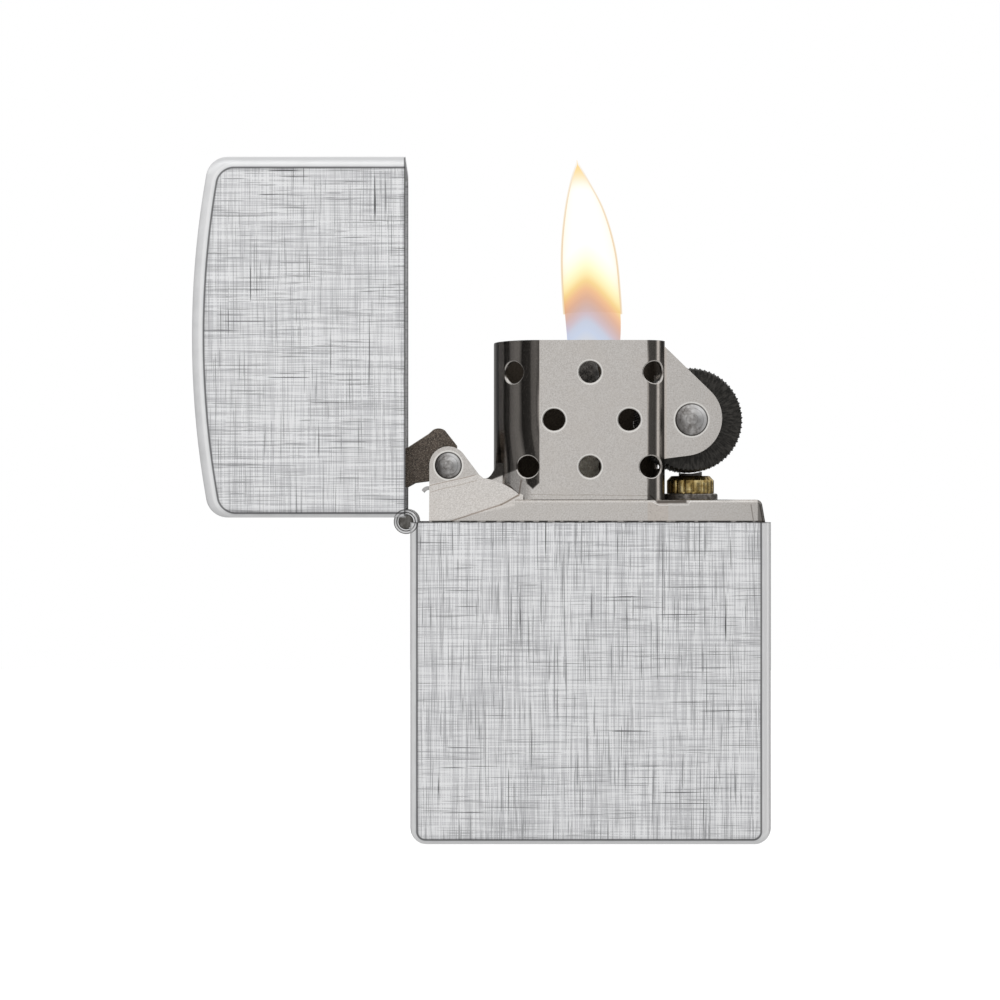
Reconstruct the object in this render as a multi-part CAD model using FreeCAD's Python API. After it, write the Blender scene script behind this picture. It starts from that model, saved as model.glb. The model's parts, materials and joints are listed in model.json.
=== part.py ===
import FreeCAD, Part
import math
import os

# A windproof petrol lighter with a flip-top lid, lid swung open to the left.
# Millimetres. X runs to the right (the striker wheel's side), Y from the front face to the back,
# Z up. The origin is the middle of the case's underside. The lid's hinge lies along Y on the left.

V = FreeCAD.Vector

# Past the end of every piece, for cuts that go right through
FAR = 80.0
# Extra length that a later cut takes off
SPARE = 10.0

# Case and lid, both drawn from sheet and polished at the edges
HALF_WIDTH = 19.05
HALF_DEPTH = 6.35
SHEET = 0.5
EDGE_ROUND = 1.0
CASE_HEIGHT = 34.0
CASE_CORNER = 1.75
LID_RIM = 34.1
LID_TOP = 56.65
LID_CORNER = 2.3
DOME_RADIUS = 98.0

# Hinge
HINGE_X = -19.5
HINGE_Z = 34.05
KNUCKLE_OUTER = 1.3
KNUCKLE_INNER = 0.8
HINGE_PIN_RADIUS = 0.72
KNUCKLES = 5
KNUCKLE_PITCH = 2.04
KNUCKLE_GAP = 0.06
LEAF_SHEET = 0.35
LEAF_REACH = 5.6
HINGE_RELIEF = 1.55
HINGE_END_CLEARANCE = 0.1
HINGE_PIN_PROUD = 0.05
OPEN_ANGLE = 90.0

# Tank of the insert
TANK_LEFT = -17.95
TANK_RIGHT = 18.47
TANK_TAPER = 0.42
TANK_HALF_DEPTH = 5.7
TANK_FOOT = 0.9
TANK_TOP = 36.4
TANK_WALL = 0.4
TANK_CORNER = 0.65
TANK_EDGE_ROUND = 0.38
SHOULDER_LEFT = -17.06
SHOULDER_LOW = 33.9
SHOULDER_HIGH = 38.05
SHOULDER_SLOPE = 0.2
SHOULDER_OVERLAP = 1.0
SHOULDER_REACH = 3.0
SHOULDER_EDGE_DROP = 0.3
SHOULDER_STEP_DROP = 1.6
SLOPE_END = -8.0

# Chimney (the wind screen)
CHIMNEY_LEFT = -10.1
CHIMNEY_RIGHT = 8.05
CHIMNEY_HALF_DEPTH = 5.5
CHIMNEY_TOP = 53.25
CHIMNEY_SHEET = 0.4
CHIMNEY_LEFT_ROUND = 4.7
CHIMNEY_RIGHT_ROUND = 2.1
HOLE_RADIUS = 1.15
HOLE_RIM_ROUND = 0.14
WINDOW_FOOT = 39.75
WINDOW_HEAD = 50.1
FRONT_HOLES = ((49.86, (-8.18, -0.05, 6.83)), (44.83, (-3.85, 4.1)), (39.87, (-6.65, -0.05, 6.42)))
BACK_HOLES = ((49.86, (-3.9, 3.9)), (44.83, (-8.18, -0.05, 6.83)), (39.87, (-3.3, 3.4)))

# Cam that snaps the lid open and shut
CAM_X = -15.03
CAM_Z = 40.04
CAM_HUB = 1.65
CAM_HALF_THICK = 2.7
CAM_EAR_INNER = 3.1
CAM_EAR_OUTER = 3.5
CAM_EAR_RADIUS = 2.03
EAR_SLOPE_START = 40.0
EAR_ROOT_LEFT = -12.0
EAR_ROOT_RIGHT = -9.0
EAR_ROOT_FOOT = 37.45
CAM_PIN_RADIUS = 0.75
CAM_BORE = 0.82
CAM_RIVET_HEAD = 1.45
POCKET_FLOOR = 36.2
POCKET_CLEARANCE = 0.7
LEAF_SPRING_THICK = 0.4
LEAF_SPRING_HALF_DEPTH = 2.2
LEAF_SPRING_FOOT = -11.2
LEAF_SPRING_BEND = -14.38
LEAF_SPRING_TIP = -17.9
LEAF_SPRING_RISE = 1.2
CURL_REACH = 0.9
CURL_LIP = 0.25
SPRING_RIVET_X = -12.6
SPRING_RIVET_SHANK = 0.6
SPRING_RIVET_HEAD = 1.05
SPRING_RIVET_ROUND = 0.25

# Cam's outline, as (x, z) from its pin: its back, its horn above, its toe inside the lid, its belly
CAM_BACK_LOW = (0.95, 1.35)
CAM_BACK_HIGH = (0.95, 2.1)
CAM_HORN_RIGHT = (-0.35, 3.75)
CAM_HORN_TOP = (-1.0, 3.98)
CAM_HORN_LEFT = (-1.6, 3.84)
CAM_NECK = (-2.1, 3.4)
CAM_TOE_TOP = (-4.4, 1.9)
CAM_TOE_TIP = (-6.0, -0.3)
CAM_TOE_UNDER = (-4.5, -2.35)
CAM_BELLY_LEFT = (-3.6, -1.85)
CAM_BELLY_RIGHT = (-2.1, -1.65)

# Gap between the cam's ears and the chimney
NOTCH_LEFT = -11.74
NOTCH_FLOOR = 38.66
NOTCH_BANK = 0.39
NOTCH_RIGHT = (-10.62, 38.86)
NOTCH_BEND = (-10.16, 39.42)
NOTCH_END = (-9.95, 40.3)
NOTCH_ENTRY = (-11.3, 38.68)
NOTCH_CROWN = (-9.4, 38.15)
NOTCH_RUNOUT = (-7.6, 37.0)
NOTCH_OVERCUT = 0.6

# Striker wheel and its brackets
WHEEL_X = 10.85
WHEEL_Z = 44.9
WHEEL_RADIUS = 5.65
WHEEL_HALF_THICK = 3.2
WHEEL_TEETH = 60
TOOTH_DEPTH = 0.24
TOOTH_LEAN = 0.8
DISH_DEPTH = 0.35
DISH_OUTER = 3.1
DISH_INNER = 2.0
WHEEL_EAR_INNER = 3.6
WHEEL_EAR_OUTER = 4.0
NOSE_X = 10.1
NOSE_Z = 45.05
NOSE_RADIUS = 4.0
NOSE_TOP_SLOPE = 44.2
NOSE_UNDER_SLOPE = 7.4
EAR_OVERLAP = 0.3
AXLE_RADIUS = 0.9
WHEEL_BORE = 0.97
AXLE_HEAD = 1.75
RIVET_HEAD_HEIGHT = 0.55

# Flint and what pushes it against the wheel
FLINT_X = 11.2
FLINT_RADIUS = 1.25
FLINT_LENGTH = 5.9
FLINT_CLEARANCE = 0.05
FLINT_HORNS = 0.5
PLUNGER_RADIUS = 1.2
PLUNGER_HEAD = 1.2
PLUNGER_STEM_RADIUS = 0.6
TUBE_INNER = 1.35
TUBE_OUTER = 1.75
TUBE_FOOT = 2.9
FLANGE_RADIUS = 2.93
FLANGE_THICK = 0.65
FLANGE_ROUND = 0.2
COLLAR_RADIUS = 2.55
COLLAR_HEIGHT = 1.9
COLLAR_CHAMFER = 0.45
COLLAR_FLUTES = 16
FLUTE_RADIUS = 0.3
FLUTE_DEPTH = 0.14
SPRING_RADIUS = 0.95
SPRING_WIRE = 0.18
SPRING_PITCH = 2.0
SCREW_HEAD_RADIUS = 2.7
SCREW_HEAD_THICK = 1.2
SCREW_HEAD_CHAMFER = 0.25
SCREW_SHANK = 4.0
SCREW_CLEARANCE = 0.05
SLOT_HALF_WIDTH = 0.35
SLOT_DEPTH = 0.6

# Wick, packing and pad
WICK_X = 0.0
WICK_RADIUS = 1.35
WICK_TOP = 51.6
WICK_FOOT = 14.0
WICK_TIP_ROUND = 0.5
WICK_CLEARANCE = 0.05
SLEEVE_WALL = 0.3
SLEEVE_FLANGE = 2.6
SLEEVE_FLANGE_THICK = 0.4
SLEEVE_DEPTH = 1.2
SLEEVE_RISE = 1.3
PACKING_COUNT = 5
PACKING_GAP = 0.3
PACKING_TOP = 31.7
PACKING_CORNER = 1.5
SOFT_CLEARANCE = 0.1
PAD_THICK = 1.8
PAD_RISE = 0.2
PAD_CORNER = 1.0
PAD_HOLE_CLEARANCE = 0.3


def box(x0, x1, y0, y1, z0, z1):
    """Block between two corners."""
    return Part.makeBox(x1 - x0, y1 - y0, z1 - z0, V(x0, y0, z0))


def rod(x, z, radius, y0, y1):
    """Cylinder along Y."""
    return Part.makeCylinder(radius, y1 - y0, V(x, y0, z), V(0, 1, 0))


def post(x, radius, z0, z1):
    """Cylinder along Z, in the middle of the depth."""
    return Part.makeCylinder(radius, z1 - z0, V(x, 0, z0), V(0, 0, 1))


def top_edges(shape, z):
    """Edges that lie wholly at a height."""
    return [e for e in shape.Edges if e.BoundBox.ZMin > z - 0.01]


def plate(start, moves, y0, y1):
    """Flat piece with its outline in the XZ plane.

    A move of two numbers is a straight run to (x, z). A move of four is an arc through its first
    point to its second.
    """
    first = V(start[0], y0, start[1])
    here = first
    edges = []
    for move in moves:
        there = V(move[-2], y0, move[-1])
        if len(move) == 4:
            edges.append(Part.Arc(here, V(move[0], y0, move[1]), there).toShape())
        else:
            edges.append(Part.makeLine(here, there))
        here = there
    edges.append(Part.makeLine(here, first))
    return Part.Face(Part.Wire(edges)).extrude(V(0, y1 - y0, 0))


def rounded_prism(x0, x1, half_depth, left_round, right_round, z0, z1):
    """Upright prism on a rectangle whose left and right corners have their own radii."""
    block = box(x0, x1, -half_depth, half_depth, z0, z1)
    left = [e for e in block.Edges if is_upright(e) and abs(e.Vertexes[0].X - x0) < 1e-4]
    block = block.makeFillet(left_round, left)
    right = [e for e in block.Edges if is_upright(e) and abs(e.Vertexes[0].X - x1) < 1e-4]
    return block.makeFillet(right_round, right)


def is_upright(edge):
    """True for a straight edge along Z."""
    if len(edge.Vertexes) != 2:
        return False
    low, high = edge.Vertexes[0].Point, edge.Vertexes[1].Point
    return abs(low.x - high.x) < 1e-5 and abs(low.y - high.y) < 1e-5


def is_cross(edge):
    """True for a straight edge along Y."""
    if len(edge.Vertexes) != 2:
        return False
    near, far = edge.Vertexes[0].Point, edge.Vertexes[1].Point
    return abs(near.x - far.x) < 1e-5 and abs(near.z - far.z) < 1e-5


def face_edges(shape, half_depth):
    """Edges that bound the front and back faces."""
    found = []
    for edge in shape.Edges:
        middle = 0.5 * (edge.FirstParameter + edge.LastParameter)
        points = [edge.valueAt(p) for p in (edge.FirstParameter, middle, edge.LastParameter)]
        if all(abs(abs(p.y) - half_depth) < 1e-4 for p in points):
            found.append(edge)
    return found


def case_block(inset):
    """The case's outside, or its inside when inset by the sheet."""
    depth = HALF_DEPTH - inset
    width = HALF_WIDTH - inset
    block = box(-width, width, -depth, depth, inset, CASE_HEIGHT + SPARE)
    corners = [e for e in block.Edges if is_cross(e) and e.Vertexes[0].Z < CASE_HEIGHT]
    block = block.makeFillet(CASE_CORNER - inset, corners)
    return block.makeFillet(EDGE_ROUND - inset, face_edges(block, depth))


def lid_block(inset):
    """The closed lid's outside under its shallow dome, or its inside when inset by the sheet."""
    depth = HALF_DEPTH - inset
    width = HALF_WIDTH - inset
    block = box(-width, width, -depth, depth, CASE_HEIGHT - SPARE, LID_TOP)
    dome = rod(0, LID_TOP - DOME_RADIUS, DOME_RADIUS - inset, -depth, depth)
    block = block.common(dome)
    corners = [e for e in block.Edges if is_cross(e) and e.Vertexes[0].Z > CASE_HEIGHT]
    block = block.makeFillet(LID_CORNER - inset, corners)
    return block.makeFillet(EDGE_ROUND - inset, face_edges(block, depth))


def opened(shape):
    """A closed lid's shape swung open about the hinge."""
    turned = shape.copy()
    turned.rotate(V(HINGE_X, 0, HINGE_Z), V(0, 1, 0), -OPEN_ANGLE)
    return turned


def hinge_half_length():
    return 0.5 * KNUCKLES * KNUCKLE_PITCH


def hinge_groove():
    """Room round the whole barrel, taken out of the case's and the lid's side walls."""
    reach = hinge_half_length() + HINGE_END_CLEARANCE
    return rod(HINGE_X, HINGE_Z, HINGE_RELIEF, -reach, reach)


def case_shell():
    shell = case_block(0).cut(case_block(SHEET))
    shell = shell.common(box(-FAR, FAR, -FAR, FAR, -FAR, CASE_HEIGHT))
    return shell.cut(hinge_groove())


def lid_shell():
    shell = lid_block(0).cut(lid_block(SHEET))
    shell = shell.common(box(-FAR, FAR, -FAR, FAR, LID_RIM, FAR))
    return opened(shell.cut(hinge_groove()))


def hinge_leaf(own_knuckles, side):
    """Leaf inside the wall with its knuckles. Side is -1 below the joint and +1 above it."""
    half = hinge_half_length()
    inner_wall = -HALF_WIDTH + SHEET
    near = HINGE_Z
    far = HINGE_Z + side * LEAF_REACH
    leaf = box(inner_wall, inner_wall + LEAF_SHEET, -half, half, min(near, far), max(near, far))
    bores = rod(HINGE_X, HINGE_Z, KNUCKLE_INNER, -half, half)
    for index in range(KNUCKLES):
        start = -half + index * KNUCKLE_PITCH + 0.5 * KNUCKLE_GAP
        end = start + KNUCKLE_PITCH - KNUCKLE_GAP
        if index in own_knuckles:
            leaf = leaf.fuse(rod(HINGE_X, HINGE_Z, KNUCKLE_OUTER, start, end))
        else:
            leaf = leaf.cut(rod(HINGE_X, HINGE_Z, HINGE_RELIEF, start - KNUCKLE_GAP, end + KNUCKLE_GAP))
    return leaf.cut(bores).removeSplitter()


def hinge_leaf_case():
    return hinge_leaf((0, 2, 4), -1)


def hinge_leaf_lid():
    return opened(hinge_leaf((1, 3), 1))


def hinge_pin():
    half = hinge_half_length() + HINGE_PIN_PROUD
    return rod(HINGE_X, HINGE_Z, HINGE_PIN_RADIUS, -half, half)


def tank_block(inset, foot):
    """The tank below its cam shoulder: outside, or inside when inset by the sheet."""
    left = TANK_LEFT + inset
    right = TANK_RIGHT - inset
    top = TANK_TOP - inset
    depth = TANK_HALF_DEPTH - inset
    block = plate(
        (left, foot),
        [(right, foot), (right, CASE_HEIGHT), (right - TANK_TAPER, top), (left, top)],
        -depth, depth)
    corner = [e for e in block.Edges if is_cross(e) and e.BoundBox.ZMin > CASE_HEIGHT and e.BoundBox.XMin > 0]
    block = block.makeFillet(TANK_CORNER - inset, corner)
    rounded = [e for e in face_edges(block, depth) if e.BoundBox.ZMax > foot + 0.01]
    block = block.makeFillet(TANK_EDGE_ROUND, rounded)
    low_left = SHOULDER_LEFT + inset
    low = SHOULDER_LOW - inset
    slope_rise = SHOULDER_SLOPE * (SLOPE_END - SHOULDER_LEFT)
    above_slope = plate(
        (SLOPE_END, FAR),
        [(SLOPE_END, low + slope_rise), (low_left, low), (low_left, low - SHOULDER_EDGE_DROP),
         (left, low - SHOULDER_STEP_DROP), (-FAR, low - SHOULDER_STEP_DROP), (-FAR, FAR)],
        -FAR, FAR)
    return block.cut(above_slope)


def cam_shoulder():
    """Slanted shoulders that carry the cam's ears, rising towards the chimney."""
    wide = TANK_HALF_DEPTH
    narrow = CAM_EAR_OUTER
    section = [
        (-wide, SHOULDER_LOW - SHOULDER_OVERLAP),
        (wide, SHOULDER_LOW - SHOULDER_OVERLAP),
        (wide, SHOULDER_LOW),
        (narrow, SHOULDER_HIGH),
        (-narrow, SHOULDER_HIGH),
        (-wide, SHOULDER_LOW),
    ]
    points = [V(SHOULDER_LEFT, y, z) for y, z in section]
    length = CHIMNEY_LEFT + SHOULDER_REACH - SHOULDER_LEFT
    face = Part.Face(Part.makePolygon(points + points[:1]))
    return face.extrude(V(length, 0, SHOULDER_SLOPE * length))


def ear_slope_top():
    """Where the round top of a cam ear runs out into its slope."""
    lift = math.radians(EAR_SLOPE_START)
    return (CAM_X + CAM_EAR_RADIUS * math.cos(lift), CAM_Z + CAM_EAR_RADIUS * math.sin(lift))


def notch():
    """Gap between the cam's ears and the chimney, running out over the shoulder's right end."""
    foot = (NOTCH_LEFT, NOTCH_FLOOR + NOTCH_BANK)
    top = ear_slope_top()
    right = NOTCH_RUNOUT[0] + NOTCH_OVERCUT
    return plate(
        foot,
        [NOTCH_ENTRY, NOTCH_CROWN + NOTCH_RUNOUT, (right, NOTCH_RUNOUT[1]), (right, FAR), (top[0], FAR), top],
        -FAR, FAR)


def chimney_outside():
    return rounded_prism(CHIMNEY_LEFT, CHIMNEY_RIGHT, CHIMNEY_HALF_DEPTH, CHIMNEY_LEFT_ROUND,
                         CHIMNEY_RIGHT_ROUND, TANK_TOP, CHIMNEY_TOP)


def insert_tank():
    """Sheet tank, open underneath, with the cam's pocket in its left shoulder."""
    body = tank_block(0, TANK_FOOT).fuse(cam_shoulder())
    body = body.cut(chimney_outside())
    body = body.cut(tank_block(TANK_WALL, TANK_FOOT - 1))
    pocket_right = CHIMNEY_LEFT - POCKET_CLEARANCE
    body = body.cut(box(-FAR, pocket_right, -CAM_EAR_INNER, CAM_EAR_INNER, POCKET_FLOOR, FAR))
    body = body.cut(notch())
    for side in (-1, 1):
        low, high = sorted((side * CAM_EAR_INNER, side * CAM_EAR_OUTER))
        body = body.cut(box(EAR_ROOT_LEFT, EAR_ROOT_RIGHT, low, high, EAR_ROOT_FOOT, FAR))
    body = body.cut(post(WICK_X, WICK_RADIUS + SLEEVE_WALL, 0, FAR))
    body = body.cut(post(FLINT_X, TUBE_OUTER, 0, FAR))
    return body.removeSplitter()


def cam_ear(y0, y1):
    """Ear with a round top about the cam's pin, a slope down to the notch and a bend up the chimney."""
    slope_top = ear_slope_top()
    bank = NOTCH_FLOOR + NOTCH_BANK
    base_z = SHOULDER_HIGH + SHOULDER_SLOPE * (EAR_ROOT_LEFT - SHOULDER_LEFT)
    return plate(
        (SHOULDER_LEFT, SHOULDER_HIGH),
        [(CAM_X - CAM_EAR_RADIUS, CAM_Z), (CAM_X, CAM_Z + CAM_EAR_RADIUS, slope_top[0], slope_top[1]),
         (NOTCH_LEFT, bank), (0.5 * (NOTCH_LEFT + NOTCH_RIGHT[0]), NOTCH_FLOOR) + NOTCH_RIGHT,
         NOTCH_BEND + NOTCH_END, (EAR_ROOT_RIGHT, NOTCH_END[1]), (EAR_ROOT_RIGHT, EAR_ROOT_FOOT),
         (EAR_ROOT_LEFT, EAR_ROOT_FOOT), (EAR_ROOT_LEFT, base_z)],
        y0, y1)


def cam_ears():
    """Both ears as one shape."""
    return cam_ear(-CAM_EAR_OUTER, -CAM_EAR_INNER).fuse(cam_ear(CAM_EAR_INNER, CAM_EAR_OUTER))


def wheel_ear(y0, y1):
    """Bracket that narrows from the chimney to a round nose past the wheel's axle."""
    root = CHIMNEY_RIGHT - EAR_OVERLAP
    top = math.radians(NOSE_TOP_SLOPE)
    under = math.radians(NOSE_UNDER_SLOPE)
    top_x = NOSE_X + NOSE_RADIUS * math.sin(top)
    top_z = NOSE_Z + NOSE_RADIUS * math.cos(top)
    under_x = NOSE_X + NOSE_RADIUS * math.sin(under)
    under_z = NOSE_Z - NOSE_RADIUS * math.cos(under)
    return plate(
        (root, top_z + (top_x - root) * math.tan(top)),
        [(top_x, top_z), (NOSE_X + NOSE_RADIUS, NOSE_Z, under_x, under_z),
         (root, under_z - (under_x - root) * math.tan(under))],
        y0, y1)


def chimney():
    """Pierced wind screen with the wheel's brackets on its right and the cam's ears on its left.

    The back's holes stand between the front's, so that no light passes straight through.
    """
    inside = rounded_prism(
        CHIMNEY_LEFT + CHIMNEY_SHEET, CHIMNEY_RIGHT - CHIMNEY_SHEET,
        CHIMNEY_HALF_DEPTH - CHIMNEY_SHEET, CHIMNEY_LEFT_ROUND - CHIMNEY_SHEET,
        CHIMNEY_RIGHT_ROUND - CHIMNEY_SHEET, TANK_TOP - SPARE, CHIMNEY_TOP + SPARE)
    screen = chimney_outside().cut(inside)
    for rows, side in ((FRONT_HOLES, -1), (BACK_HOLES, 1)):
        for height, places in rows:
            for x in places:
                screen = screen.cut(hole_punch(x, height, side))
    screen = round_hole_rims(screen)
    window = box(WHEEL_X - WHEEL_RADIUS, FAR, -WHEEL_EAR_INNER, WHEEL_EAR_INNER, WINDOW_FOOT, WINDOW_HEAD)
    screen = screen.cut(window)
    for side in (-1, 1):
        low, high = sorted((side * WHEEL_EAR_INNER, side * WHEEL_EAR_OUTER))
        ear = wheel_ear(low, high)
        screen = screen.fuse(ear.cut(rod(WHEEL_X, WHEEL_Z, AXLE_RADIUS, -FAR, FAR)))
    ears = cam_ears().cut(inside)
    screen = screen.fuse(ears.cut(rod(CAM_X, CAM_Z, CAM_PIN_RADIUS, -FAR, FAR)))
    return screen.removeSplitter()


def corner_of(x):
    """Centre line and radius of the screen's rounded corner at x, or None on its flat."""
    left = CHIMNEY_LEFT + CHIMNEY_LEFT_ROUND
    right = CHIMNEY_RIGHT - CHIMNEY_RIGHT_ROUND
    if x < left:
        return left, CHIMNEY_HALF_DEPTH - CHIMNEY_LEFT_ROUND, CHIMNEY_LEFT_ROUND
    if x > right:
        return right, CHIMNEY_HALF_DEPTH - CHIMNEY_RIGHT_ROUND, CHIMNEY_RIGHT_ROUND
    return None


def hole_punch(x, height, side):
    """Cylinder that pierces the screen square to its surface. Side is -1 in front and 1 behind."""
    corner = corner_of(x)
    if corner is None:
        start = V(x, side * (CHIMNEY_HALF_DEPTH - 1), height)
        return Part.makeCylinder(HOLE_RADIUS, 2, start, V(0, side, 0))
    middle_x, middle_y, radius = corner
    lean = math.asin((x - middle_x) / radius)
    outward = V(math.sin(lean), side * math.cos(lean), 0)
    start = V(middle_x, side * middle_y, height) + outward * (radius - 1)
    return Part.makeCylinder(HOLE_RADIUS, 2, start, outward)


def height_above_screen(point):
    """Distance of a point outside the screen's outer surface."""
    corner = corner_of(point.x)
    if corner is None:
        return abs(point.y) - CHIMNEY_HALF_DEPTH
    middle_x, middle_y, radius = corner
    return math.hypot(point.x - middle_x, max(abs(point.y) - middle_y, 0)) - radius


def round_hole_rims(screen):
    """Rounds the outer edge of each hole."""
    rims = []
    for edge in screen.Edges:
        if abs(edge.BoundBox.ZLength - 2 * HOLE_RADIUS) > 0.02:
            continue
        span = edge.LastParameter - edge.FirstParameter
        points = [edge.valueAt(edge.FirstParameter + share * span) for share in (0.1, 0.37, 0.63, 0.9)]
        if all(abs(height_above_screen(point)) < 0.01 for point in points):
            rims.append(edge)
    return screen.makeFillet(HOLE_RIM_ROUND, rims)


def rivet(x, z, shank, head, ear_outer):
    """Pin across a pair of ears with a domed head on each."""
    body = rod(x, z, shank, -ear_outer, ear_outer)
    sphere_radius = (head ** 2 + RIVET_HEAD_HEIGHT ** 2) / (2 * RIVET_HEAD_HEIGHT)
    for side in (-1, 1):
        centre = V(x, side * (ear_outer + RIVET_HEAD_HEIGHT - sphere_radius), z)
        low, high = sorted((side * ear_outer, side * (ear_outer + RIVET_HEAD_HEIGHT)))
        dome = Part.makeSphere(sphere_radius, centre).common(rod(x, z, head, low, high))
        body = body.fuse(dome)
    return body


def cam_rivet():
    return rivet(CAM_X, CAM_Z, CAM_PIN_RADIUS, CAM_RIVET_HEAD, CAM_EAR_OUTER)


def wheel_rivet():
    return rivet(WHEEL_X, WHEEL_Z, AXLE_RADIUS, AXLE_HEAD, WHEEL_EAR_OUTER)


def from_pin(*points):
    """A move of plate(), from points given about the cam's pin."""
    move = ()
    for x, z in points:
        move += (CAM_X + x, CAM_Z + z)
    return move


def cam():
    """Sintered cam: a horn above, a toe that works inside the lid, and a hub on the pin."""
    body = plate(
        from_pin(CAM_BACK_LOW),
        [from_pin(CAM_BACK_HIGH), from_pin(CAM_HORN_RIGHT), from_pin(CAM_HORN_TOP, CAM_HORN_LEFT),
         from_pin(CAM_NECK), from_pin(CAM_TOE_TOP), from_pin(CAM_TOE_TIP, CAM_TOE_UNDER),
         from_pin(CAM_BELLY_LEFT), from_pin(CAM_BELLY_RIGHT), from_pin((0, -CAM_HUB))],
        -CAM_HALF_THICK, CAM_HALF_THICK)
    body = body.fuse(rod(CAM_X, CAM_Z, CAM_HUB, -CAM_HALF_THICK, CAM_HALF_THICK))
    return body.cut(rod(CAM_X, CAM_Z, CAM_BORE, -FAR, FAR)).removeSplitter()


def cam_spring():
    """Leaf spring under the cam, its free end curled down past the shoulder."""
    top = POCKET_FLOOR + LEAF_SPRING_THICK
    under = POCKET_FLOOR + LEAF_SPRING_RISE
    over = under + LEAF_SPRING_THICK
    tip = LEAF_SPRING_TIP
    middle = tip + 0.5 * CURL_REACH
    strip = plate(
        (LEAF_SPRING_FOOT, POCKET_FLOOR),
        [(LEAF_SPRING_BEND, POCKET_FLOOR), (tip + CURL_REACH, under),
         (tip + 2 * CURL_LIP, under, tip + CURL_LIP, under - CURL_LIP), (tip, under),
         (middle, over, tip + CURL_REACH, over), (LEAF_SPRING_BEND, top), (LEAF_SPRING_FOOT, top)],
        -LEAF_SPRING_HALF_DEPTH, LEAF_SPRING_HALF_DEPTH)
    return strip.cut(post(SPRING_RIVET_X, SPRING_RIVET_SHANK, 0, FAR))


def cam_spring_rivet():
    """Rivet through the leaf spring's foot, standing on the pocket's floor."""
    seat = POCKET_FLOOR + LEAF_SPRING_THICK
    shank = post(SPRING_RIVET_X, SPRING_RIVET_SHANK, POCKET_FLOOR, seat)
    head = post(SPRING_RIVET_X, SPRING_RIVET_HEAD, seat, seat + LEAF_SPRING_THICK)
    head = head.makeFillet(SPRING_RIVET_ROUND, top_edges(head, seat + LEAF_SPRING_THICK))
    return shank.fuse(head)


def striker_wheel():
    """Hardened wheel with straight saw teeth and a shallow dish in each side."""
    points = []
    turn = 2 * math.pi / WHEEL_TEETH
    for tooth in range(WHEEL_TEETH):
        root = (tooth * turn, WHEEL_RADIUS - TOOTH_DEPTH)
        crest = ((tooth + TOOTH_LEAN) * turn, WHEEL_RADIUS)
        for angle, radius in (root, crest):
            x = WHEEL_X + radius * math.cos(angle)
            points.append(V(x, -WHEEL_HALF_THICK, WHEEL_Z + radius * math.sin(angle)))
    face = Part.Face(Part.makePolygon(points + points[:1]))
    wheel = face.extrude(V(0, 2 * WHEEL_HALF_THICK, 0))
    for side in (-1, 1):
        low, high = sorted((side * (WHEEL_HALF_THICK - DISH_DEPTH), side * FAR))
        dish = rod(WHEEL_X, WHEEL_Z, DISH_OUTER, low, high).cut(rod(WHEEL_X, WHEEL_Z, DISH_INNER, low, high))
        wheel = wheel.cut(dish)
    return wheel.cut(rod(WHEEL_X, WHEEL_Z, WHEEL_BORE, -FAR, FAR))


def flint_bottom():
    return WHEEL_Z - WHEEL_RADIUS - FLINT_LENGTH


def flint():
    """Round flint whose worn end follows the wheel."""
    blank = post(FLINT_X, FLINT_RADIUS, flint_bottom(), WHEEL_Z - WHEEL_RADIUS + FLINT_HORNS)
    return blank.cut(rod(WHEEL_X, WHEEL_Z, WHEEL_RADIUS + FLINT_CLEARANCE, -FAR, FAR))


def plunger_bottom():
    return flint_bottom() - 2 * PLUNGER_HEAD


def flint_plunger():
    """Small brass plug between the flint and its spring."""
    shoulder = flint_bottom() - PLUNGER_HEAD
    head = post(FLINT_X, PLUNGER_RADIUS, shoulder, flint_bottom())
    stem = post(FLINT_X, PLUNGER_STEM_RADIUS, plunger_bottom(), shoulder)
    return head.fuse(stem)


def flint_tube():
    """Tube down through the tank, with the dark flange that seats on the tank's top."""
    tube = post(FLINT_X, TUBE_OUTER, TUBE_FOOT, TANK_TOP)
    flange = post(FLINT_X, FLANGE_RADIUS, TANK_TOP, TANK_TOP + FLANGE_THICK)
    flange = flange.makeFillet(FLANGE_ROUND, top_edges(flange, TANK_TOP + FLANGE_THICK))
    return tube.fuse(flange).cut(post(FLINT_X, TUBE_INNER, 0, FAR))


def flint_tube_collar():
    """Fluted brass collar with a chamfered top."""
    foot = TANK_TOP + FLANGE_THICK
    collar = post(FLINT_X, COLLAR_RADIUS, foot, foot + COLLAR_HEIGHT)
    collar = collar.makeChamfer(COLLAR_CHAMFER, top_edges(collar, foot + COLLAR_HEIGHT))
    flutes = []
    reach = COLLAR_RADIUS + FLUTE_RADIUS - FLUTE_DEPTH
    for index in range(COLLAR_FLUTES):
        angle = 2 * math.pi * index / COLLAR_FLUTES
        centre = V(FLINT_X + reach * math.cos(angle), reach * math.sin(angle), 0)
        flutes.append(Part.makeCylinder(FLUTE_RADIUS, FAR, centre, V(0, 0, 1)))
    collar = collar.cut(Part.makeCompound(flutes))
    return collar.cut(post(FLINT_X, TUBE_INNER, 0, FAR))


def screw_top():
    return TUBE_FOOT + SCREW_SHANK


def flint_spring():
    """Coil spring from the screw up to the plunger's shoulder."""
    low = screw_top() + SPRING_WIRE
    high = flint_bottom() - PLUNGER_HEAD - SPRING_WIRE
    helix = Part.makeHelix(SPRING_PITCH, high - low, SPRING_RADIUS)
    section = Part.Wire(Part.makeCircle(SPRING_WIRE, V(SPRING_RADIUS, 0, 0), V(0, 1, 0)))
    coil = Part.Wire(helix.Edges).makePipeShell([section], True, True)
    coil.translate(V(FLINT_X, 0, low))
    return coil


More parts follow.
